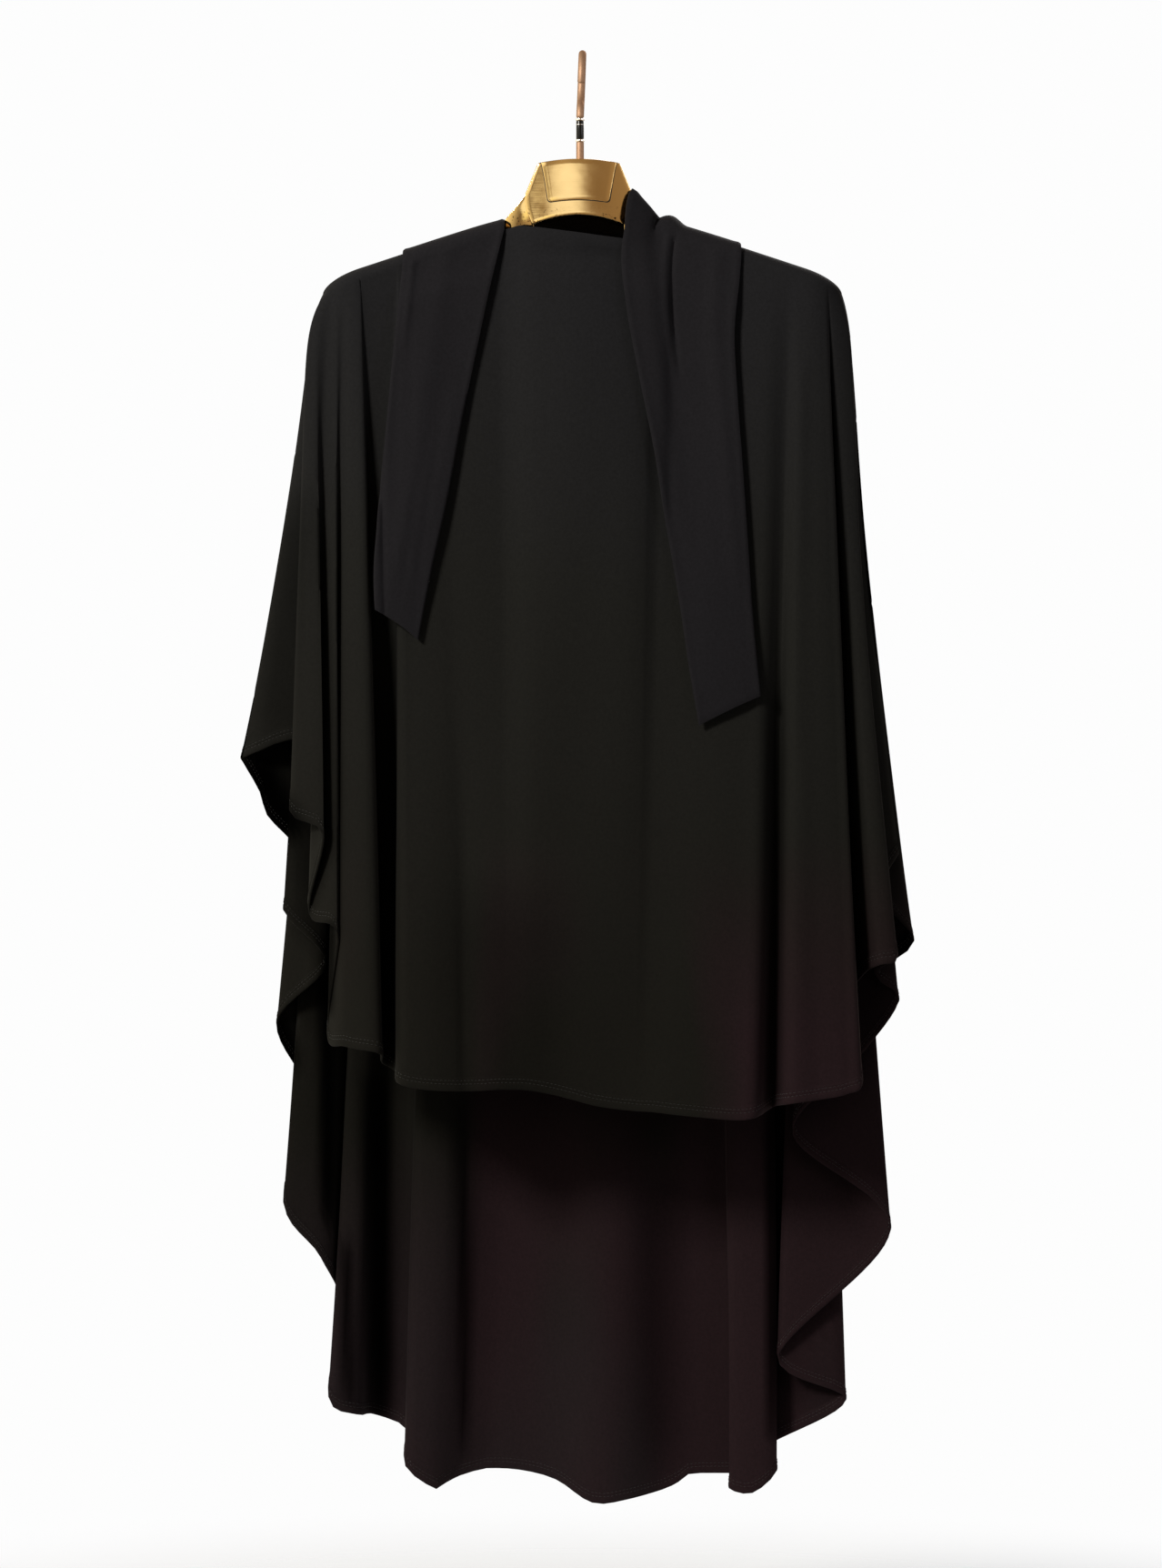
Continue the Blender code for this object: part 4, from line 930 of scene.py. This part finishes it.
def buildTie(name, node, strip):
    side, edges, drop, slant, peak = (strip[k] for k in ("side", "edges", "drop", "slant", "peak"))
    across = np.linspace(0, 1, tie["columns"])
    outer, inner = edgeAt(edges, 0.0)
    tops = [mix(outer, strip["crownInner"], a) for a in across]
    feet = [tieOver(side, share, 180, peak) for share in tops]
    rows = [[foot + Vector((0, tie["behindLean"] * k / 3, -tie["behind"] * k / 3)) for foot in feet]
            for k in (3, 2, 1)]
    for k in range(tie["over"] + 1):
        turn = 180 * (1 - k / tie["over"])
        row = [tieOver(side, share, turn, peak) for share in tops]
        for a, point in zip(across, row):
            lean = (strip["crownInner"] - inner) * a * max(0.0, math.cos(math.radians(turn)))
            point.x -= side * lean * shoulder["halfWidth"]
        rows.append(row)
    starts = rows[-1]
    hanging = np.zeros((tie["rows"], tie["columns"], 3))
    feel = (-tie["feel"], 0, tie["feel"])
    for r in range(tie["rows"]):
        part = (r + 1) / tie["rows"]
        for c, a in enumerate(across):
            share = part * (1 - slant * (1 - a))
            outer, inner = edgeAt(edges, share)
            x = side * mix(outer, inner, a) * shoulder["halfWidth"]
            z = starts[c].z - share * (drop - (shoulder["top"] - starts[c].z))
            near = min(clothFront(x + dx, z + dz) for dx in feel for dz in feel)
            ease = min(1.0, part / tie["ease"])
            hanging[r, c] = (x, mix(starts[c].y, min(near - tie["stand"], starts[c].y), ease), z)
    hanging[..., 1] = smoothed(hanging[..., 1], 6)
    # ridges, pinches and a slack belly bring some places forward
    down = (np.arange(tie["rows"]) + 1)[:, None] / tie["rows"]
    width = np.linalg.norm(hanging[:, 0] - hanging[:, -1], axis=1)[:, None]
    forward = 0.0012 * np.sin(math.pi * across)[None, :] * down
    for first, last, top, foot, half, height in strip["ridges"]:
        gap = (across[None, :] - mix(first, last, down)) * width
        run = np.clip((down - top) / 0.04 + (1 if top == 0 else 0), 0, 1) * np.clip((foot - down) / 0.12, 0, 1)
        forward = forward + height * run * np.exp(-(gap / half) ** 2)
    hanging[..., 1] -= forward
    grid = np.concatenate([np.array([[tuple(p) for p in row] for row in rows]), hanging])
    high = len(grid)
    # rolled edges: a seam turned in along both long edges and the end
    fromSide = np.minimum(across, 1 - across)[None, :] * np.linalg.norm(grid[:, 0] - grid[:, -1], axis=1)[:, None]
    fromEnd = (high - 1 - np.arange(high))[:, None] * drop / tie["rows"] + np.zeros_like(fromSide)
    edge = np.minimum(fromSide, fromEnd)
    roll = np.clip(1 - np.abs(edge - tie["edgeWidth"] * 0.5) / tie["edgeWidth"], 0, 1)
    walls = mix(tie["wall"], tie["edgeWall"], roll)
    walls[edge < 0.0002] = tie["wall"] * 0.55
    points = [Vector(p) for p in grid.reshape(-1, 3)]
    wide = tie["columns"]
    faces = [(r * wide + c, r * wide + c + 1, (r + 1) * wide + c + 1, (r + 1) * wide + c)
             for r in range(high - 1) for c in range(wide - 1)]
    piece, _ = closedSheet(name, points, faces, list(walls.ravel()), tieCloth, 60)
    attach(piece, "root")
    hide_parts(node)
    return piece


tieLeft = buildTie("tie_left_cloth", "tie_left", leftTie)
tieRight = buildTie("tie_right_cloth", "tie_right", rightTie)
say("ties hung")


# Band: the doubled strip behind the neck that the ties are sewn to
band = {"height": 0.0300, "wall": 0.0022, "inward": 0.0030, "left": -0.250, "right": 0.170,
        "columns": 60, "rows": 14}


def buildBand():
    shares = np.linspace(-cape["opening"], cape["opening"], 81)
    rim = [topPoint(1 if s > 0 else -1, abs(s), False) for s in shares]
    xs = [p.x for p in rim]
    points = []
    walls = []
    for r in range(band["rows"] + 1):
        level = mix(-1 / 3, 2 / 3, r / band["rows"])
        edge = min(r, band["rows"] - r) * band["height"] / band["rows"]
        for c in range(band["columns"] + 1):
            x = mix(band["left"], band["right"], c / band["columns"]) * shoulder["halfWidth"]
            depth = np.interp(x, xs, [p.y for p in rim]) - band["inward"]
            height = np.interp(x, xs, [p.z for p in rim]) + level * band["height"]
            points.append(Vector((x, depth, height)))
            walls.append(band["wall"] * (0.6 if edge < 1e-6 else 1.2 if edge < 0.005 else 0.9))
    wide = band["columns"] + 1
    faces = [(r * wide + c, r * wide + c + 1, (r + 1) * wide + c + 1, (r + 1) * wide + c)
             for r in range(band["rows"]) for c in range(wide - 1)]
    piece, _ = closedSheet("band_cloth", points, faces, walls, tieCloth, 60)
    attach(piece, "root")
    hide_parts("forehead_band")
    return piece


bandPiece = buildBand()
say("band sewn")


# Hanger parts, modelled with primitives, edit mode tools and applied modifiers

def pick(piece, test, kind="VERT"):
    # selects what passes the test, in edit mode
    bpy.ops.mesh.select_mode(type=kind)
    bpy.ops.mesh.select_all(action="DESELECT")
    shell = bmesh.from_edit_mesh(piece.data)
    items = {"VERT": shell.verts, "EDGE": shell.edges, "FACE": shell.faces}[kind]
    for item in items:
        if kind == "VERT":
            item.select = test(item.co)
        elif kind == "EDGE":
            item.select = all(test(v.co) for v in item.verts)
        else:
            item.select = test(item.calc_center_median(), item.normal)
    shell.select_flush_mode()
    bmesh.update_edit_mesh(piece.data)


def settle(piece, name, material, smoothAngle=35):
    # the piece's place goes into its mesh, and its rounds are shaded smooth
    bpy.ops.object.transform_apply(location=True, rotation=True, scale=True)
    bpy.ops.object.shade_smooth_by_angle(angle=math.radians(smoothAngle))
    piece.name = name
    piece.data.name = name
    piece.data.materials.clear()
    piece.data.materials.append(material)
    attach(piece, "root")
    piece.select_set(False)
    return piece


def applyBevel(piece, width, segments, angle=30):
    modifier = piece.modifiers.new("softEdge", "BEVEL")
    modifier.width = width
    modifier.segments = segments
    modifier.limit_method = "ANGLE"
    modifier.angle_limit = math.radians(angle)
    bpy.ops.object.modifier_apply(modifier=modifier.name)


neck = {
    "middle": -0.0030, "topWidth": 0.0700, "width": 0.0930, "footWidth": 0.0800, "waist": 0.52,
    "crown": 0.0035, "top": -0.0880, "height": 0.0565, "depth": 0.0300, "arch": 0.0085,
    "columns": 20, "rows": 14, "bow": 0.0042,        # how far the front bows forward in the middle
    "panelTop": 0.0650, "panelFoot": 0.0520, "panelHeight": 0.0370, "panelArch": 0.0022,
    "panelProud": 0.0009, "panelDepth": 0.0016, "panelCorner": 0.0030, "seam": 0.0006,
}


def neckHalfWidth(part):
    if part < neck["waist"]:
        return mix(neck["topWidth"], neck["width"], part / neck["waist"]) / 2
    below = (part - neck["waist"]) / (1.0 - neck["waist"])
    return mix(neck["width"], neck["footWidth"], 1.0 - math.cos(math.pi / 2 * below)) / 2


def neckFront(x):
    # how far behind its middle the front of the neck lies, sideways
    across = (x - neck["middle"]) / (neck["width"] / 2)
    return neck["bow"] * across * across


def shapedGrid(columns, rows, top, height, widthAt, crown, arch):
    # an upright grid whose rows take their widths and whose middle rises at the crown and at the foot
    bpy.ops.mesh.primitive_grid_add(x_subdivisions=columns, y_subdivisions=rows, size=2,
                                    rotation=(math.radians(90), 0, 0), location=(0, 0, 0))
    piece = bpy.context.object
    bpy.ops.object.transform_apply(location=True, rotation=True, scale=True)
    bpy.ops.object.mode_set(mode="EDIT")
    for r in range(rows + 1):
        level = mix(-1, 1, r / rows)
        part = 1 - r / rows
        pick(piece, lambda p: abs(p.z - level) < 1e-4)
        bpy.ops.transform.resize(value=(widthAt(part), 1, 1), center_override=(0, 0, level))
        bpy.ops.transform.translate(value=(neck["middle"], 0, 0))
    pick(piece, lambda p: True)
    bpy.ops.transform.resize(value=(1, 1, height / 2), center_override=(0, 0, 1))
    bpy.ops.transform.translate(value=(0, 0, top - 1))
    for r in range(rows + 1):
        part = 1 - r / rows
        level = top - height * part
        half = widthAt(part)
        for c in range(columns + 1):
            across = mix(-1, 1, c / columns)
            x = neck["middle"] + across * half
            rise = mix(-crown * across * across, arch * (1 - across * across), part)
            pick(piece, lambda p: abs(p.z - level) < 1e-5 and abs(p.x - x) < 1e-5)
            bpy.ops.transform.translate(value=(0, 0, rise + crown * 1e-3))
    return piece


def buildNeck():
    piece = shapedGrid(neck["columns"], neck["rows"], neck["top"], neck["height"], neckHalfWidth,
                       neck["crown"], neck["arch"])
    # the sheet becomes a block, and its front and back bow outwards
    pick(piece, lambda p: True)
    bpy.ops.transform.translate(value=(0, -neck["depth"] / 2, 0))
    bpy.ops.mesh.extrude_region_move(TRANSFORM_OT_translate={"value": (0, neck["depth"], 0)})
    bpy.ops.mesh.select_all(action="SELECT")
    bpy.ops.mesh.normals_make_consistent(inside=False)
    half = neck["depth"] / 2
    for way in (-1, 1):
        shell = bmesh.from_edit_mesh(piece.data)
        places = sorted({round(v.co.x, 5) for v in shell.verts if abs(v.co.y - way * half) < 1e-5})
        for x in places:
            pick(piece, lambda p: abs(p.x - x) < 1e-5 and abs(p.y - way * half) < 1e-5)
            bpy.ops.transform.translate(value=(0, -way * neckFront(x), 0))
    bpy.ops.object.mode_set(mode="OBJECT")
    applyBevel(piece, 0.0011, 3)
    settle(piece, "hanger_neck", gold)
    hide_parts("hanger_body")
    return piece


neckPiece = buildNeck()
say("neck shaped: %d faces" % len(neckPiece.data.polygons))


def buildPlate(name, grow, proud, material):
    # a tapered plate with round lower corners, bowed like the neck behind it
    piece = shapedGrid(12, 8, neck["top"] - 0.0004, neck["panelHeight"] + grow,
                       lambda part: mix(neck["panelTop"], neck["panelFoot"], part ** 0.8) / 2 + grow,
                       neck["crown"] * 0.8, neck["panelArch"])
    shell = bmesh.from_edit_mesh(piece.data)
    lowest = min(v.co.z for v in shell.verts)
    right = max(v.co.x for v in shell.verts if v.co.z < lowest + 0.0035)
    left = min(v.co.x for v in shell.verts if v.co.z < lowest + 0.0035)
    pick(piece, lambda p: p.z < lowest + 0.0030 and (p.x > right - 0.0015 or p.x < left + 0.0015))
    bpy.ops.mesh.bevel(offset=neck["panelCorner"], segments=4, affect="VERTICES")
    pick(piece, lambda p: True)
    bpy.ops.transform.translate(value=(0, -neck["depth"] / 2 - proud, 0))
    shell = bmesh.from_edit_mesh(piece.data)
    for x in sorted({round(v.co.x, 5) for v in shell.verts}):
        pick(piece, lambda p: abs(p.x - x) < 6e-6)
        bpy.ops.transform.translate(value=(0, neckFront(x), 0))
    pick(piece, lambda p: True)
    bpy.ops.mesh.extrude_region_move(TRANSFORM_OT_translate={"value": (0, neck["panelDepth"], 0)})
    bpy.ops.mesh.select_all(action="SELECT")
    bpy.ops.mesh.normals_make_consistent(inside=False)
    bpy.ops.object.mode_set(mode="OBJECT")
    if grow == 0:
        applyBevel(piece, 0.0006, 3, 50)
    settle(piece, name, material)
    return piece


panelPiece = buildPlate("neck_panel", 0, neck["panelProud"], gold)
# painted shadow: this dark plate shows as the shaded groove round the panel
seamPiece = buildPlate("neck_panel_groove_shadow", neck["seam"], 0.00012, grooveShadowPaint)
say("panel set: %d faces" % len(panelPiece.data.polygons))


def buildWing(side, name):
    # the flat flank between the neck and an arm: a cube whose corners are brought to their places
    bpy.ops.mesh.primitive_cube_add(size=2)
    piece = bpy.context.object
    bpy.ops.object.mode_set(mode="EDIT")
    for across, upright, (x, z, depth) in wingCorners:
        for way in (-1, 1):
            pick(piece, lambda p: p.x * across > 0.9 and p.z * upright > 0.9 and p.y * way > 0.9)
            bpy.ops.transform.translate(value=(x - across, way * (depth - 1), z - upright))
    bpy.ops.mesh.select_all(action="SELECT")
    bpy.ops.object.mode_set(mode="OBJECT")
    applyBevel(piece, 0.0007, 3, 30)
    piece.location.x = neck["middle"]
    if side < 0:
        piece.scale.x = -1
    settle(piece, name, gold)
    bpy.context.view_layer.objects.active = piece
    bpy.ops.object.mode_set(mode="EDIT")
    bpy.ops.mesh.select_all(action="SELECT")
    bpy.ops.mesh.normals_make_consistent(inside=False)
    bpy.ops.object.mode_set(mode="OBJECT")
    piece.select_set(False)
    return piece


# corner of the cube (across, up), then its place from the neck's middle, its height and its half depth
wingCorners = (
    (-1, 1, (0.0385, -0.1085, 0.0119)),
    (1, 1, (0.0640, -0.1403, 0.0066)),
    (1, -1, (0.0640, -0.1520, 0.0060)),
    (-1, -1, (0.0385, -0.1500, 0.0100)),
)
wingLeft = buildWing(-1, "neck_wing_left")
wingRight = buildWing(1, "neck_wing_right")
say("wings set")


# Arms: a tube from a circle, drawn out station by station from the neck to its tip
arm = {
    "sides": 24, "inset": 0.0015, "belly": 0.0120, "endBelly": 0.15, "least": 0.0015, "endGap": 0.0030,
    # shares of the shoulder at which a section stands
    "stations": (0.293, 0.30, 0.33, 0.40, 0.50, 0.62, 0.74, 0.86, 0.90, 0.93, 0.955, 0.97, 0.98),
}


def armHalfSize(share):
    halfDepth, crown = shoulderSize(min(1.0, share + arm["endGap"] / shoulder["halfWidth"]))
    return max(arm["least"], halfDepth - arm["inset"]), max(arm["least"], crown - arm["inset"])


def buildArm(side, name):
    half, rise = armHalfSize(arm["stations"][0])
    bpy.ops.mesh.primitive_circle_add(vertices=arm["sides"], radius=1, fill_type="NGON",
                                      rotation=(0, math.radians(90), 0))
    piece = bpy.context.object
    bpy.ops.object.transform_apply(location=True, rotation=True, scale=True)
    bpy.ops.object.mode_set(mode="EDIT")
    bpy.ops.mesh.select_all(action="SELECT")
    before = (0.0, 0.0)
    size = (1.0, 1.0)
    for n, share in enumerate(arm["stations"]):
        half, rise = armHalfSize(share)
        belly = arm["belly"] * max(arm["endBelly"], tipRounding(share))
        tall = (rise + belly) / 2
        place = (side * share * shoulder["halfWidth"], shoulderLine(share) + armFlare(share) + rise - tall)
        move = (place[0] - before[0], 0, place[1] - before[1])
        if n:
            bpy.ops.mesh.extrude_region_move(TRANSFORM_OT_translate={"value": move})
        else:
            bpy.ops.transform.translate(value=move)
        bpy.ops.transform.resize(value=(1, half / size[0], tall / size[1]),
                                 center_override=(place[0], 0, place[1]))
        before, size = place, (half, tall)
    bpy.ops.mesh.select_all(action="SELECT")
    bpy.ops.mesh.normals_make_consistent(inside=False)
    bpy.ops.object.mode_set(mode="OBJECT")
    settle(piece, name, gold, 50)
    return piece


armLeft = buildArm(-1, "hanger_arm_left")
armRight = buildArm(1, "hanger_arm_right")
say("arms drawn out")


# Collar, stem and hook on the stem's axis
collar = {
    "axis": -0.0020, "top": -0.0515, "gap": 0.0003, "ringHeight": 0.0022, "ringRadius": 0.0037,
    "barrelHeight": 0.0154, "barrelRadius": 0.0033, "lineDown": 0.0029, "lineHeight": 0.0004,
    "stemRadius": 0.0033, "stemFoot": -0.0977,
}


def buildRound(name, node, radius, low, high, material, edge):
    bpy.ops.mesh.primitive_cylinder_add(vertices=48, radius=radius, depth=high - low,
                                        location=(collar["axis"], 0, (low + high) / 2))
    piece = bpy.context.object
    applyBevel(piece, edge, 3, 50)
    settle(piece, name, material, 30)
    if node:
        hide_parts(node)
    return piece


def buildCollar():
    high = collar["top"]
    buildRound("collar_ring_upper", "collar_ring_high", collar["ringRadius"], high - collar["ringHeight"], high,
               chrome, 0.0006)
    high -= collar["ringHeight"] + collar["gap"]
    buildRound("collar_grip", "collar_barrel", collar["barrelRadius"], high - collar["barrelHeight"], high,
               black, 0.0004)
    line = high - collar["lineDown"]
    buildRound("collar_line", None, collar["barrelRadius"] + 0.0001, line - collar["lineHeight"], line,
               chrome, 0.0001)
    high -= collar["barrelHeight"] + collar["gap"]
    buildRound("collar_ring_lower", "collar_ring_low", collar["ringRadius"], high - collar["ringHeight"], high,
               chrome, 0.0006)
    high -= collar["ringHeight"] + collar["gap"]
    buildRound("stem_rod", "hanger_stem", collar["stemRadius"], collar["stemFoot"], high, roseGold,
               0.0004)


buildCollar()
say("collar turned")

hook = {"wire": 0.0066, "radius": 0.0220, "lean": 0.0020, "fillet": 0.0100, "turn": 285, "sides": 24,
        "bends": 6, "turns": 40, "turnWay": -1}


def buildHook():
    # a bent rod: a circle drawn up the shank, then spun round the fillet and round the bow
    wire, radius, fillet = hook["wire"], hook["radius"], hook["fillet"]
    middle = wire / 2 - radius
    filletZ = middle - math.sqrt(radius ** 2 + 2 * radius * fillet)
    start = math.atan2(fillet, middle - filletZ)
    foot = collar["top"] + collar["gap"]
    bpy.ops.mesh.primitive_circle_add(vertices=hook["sides"], radius=wire / 2, fill_type="NGON",
                                      location=(0, 0, foot))
    piece = bpy.context.object
    bpy.ops.object.transform_apply(location=True, rotation=True, scale=True)
    bpy.ops.object.mode_set(mode="EDIT")
    bpy.ops.mesh.select_all(action="SELECT")
    bpy.ops.mesh.extrude_region_move(TRANSFORM_OT_translate={"value": (0, 0, filletZ - foot)})
    bpy.ops.mesh.spin(steps=hook["bends"], angle=-(math.pi / 2 - start) * hook["turnWay"],
                      center=(0, fillet, filletZ), axis=(1, 0, 0))
    bpy.ops.mesh.spin(steps=hook["turns"], angle=(math.radians(hook["turn"]) - start) * hook["turnWay"],
                      center=(0, 0, middle), axis=(1, 0, 0))
    bpy.ops.mesh.select_all(action="SELECT")
    bpy.ops.mesh.remove_doubles(threshold=1e-6)
    bpy.ops.mesh.normals_make_consistent(inside=False)
    bpy.ops.object.mode_set(mode="OBJECT")
    applyBevel(piece, 0.0012, 3, 60)
    piece.rotation_euler = (0, math.atan2(hook["lean"], -foot), 0)
    settle(piece, "hook_rod", roseGold, 50)
    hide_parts("hook")
    return piece


hookPiece = buildHook()
say("hook bent, top at %.4f, back to %.4f" % (max(v.co.z for v in hookPiece.data.vertices),
                                            min(v.co.y for v in hookPiece.data.vertices)))
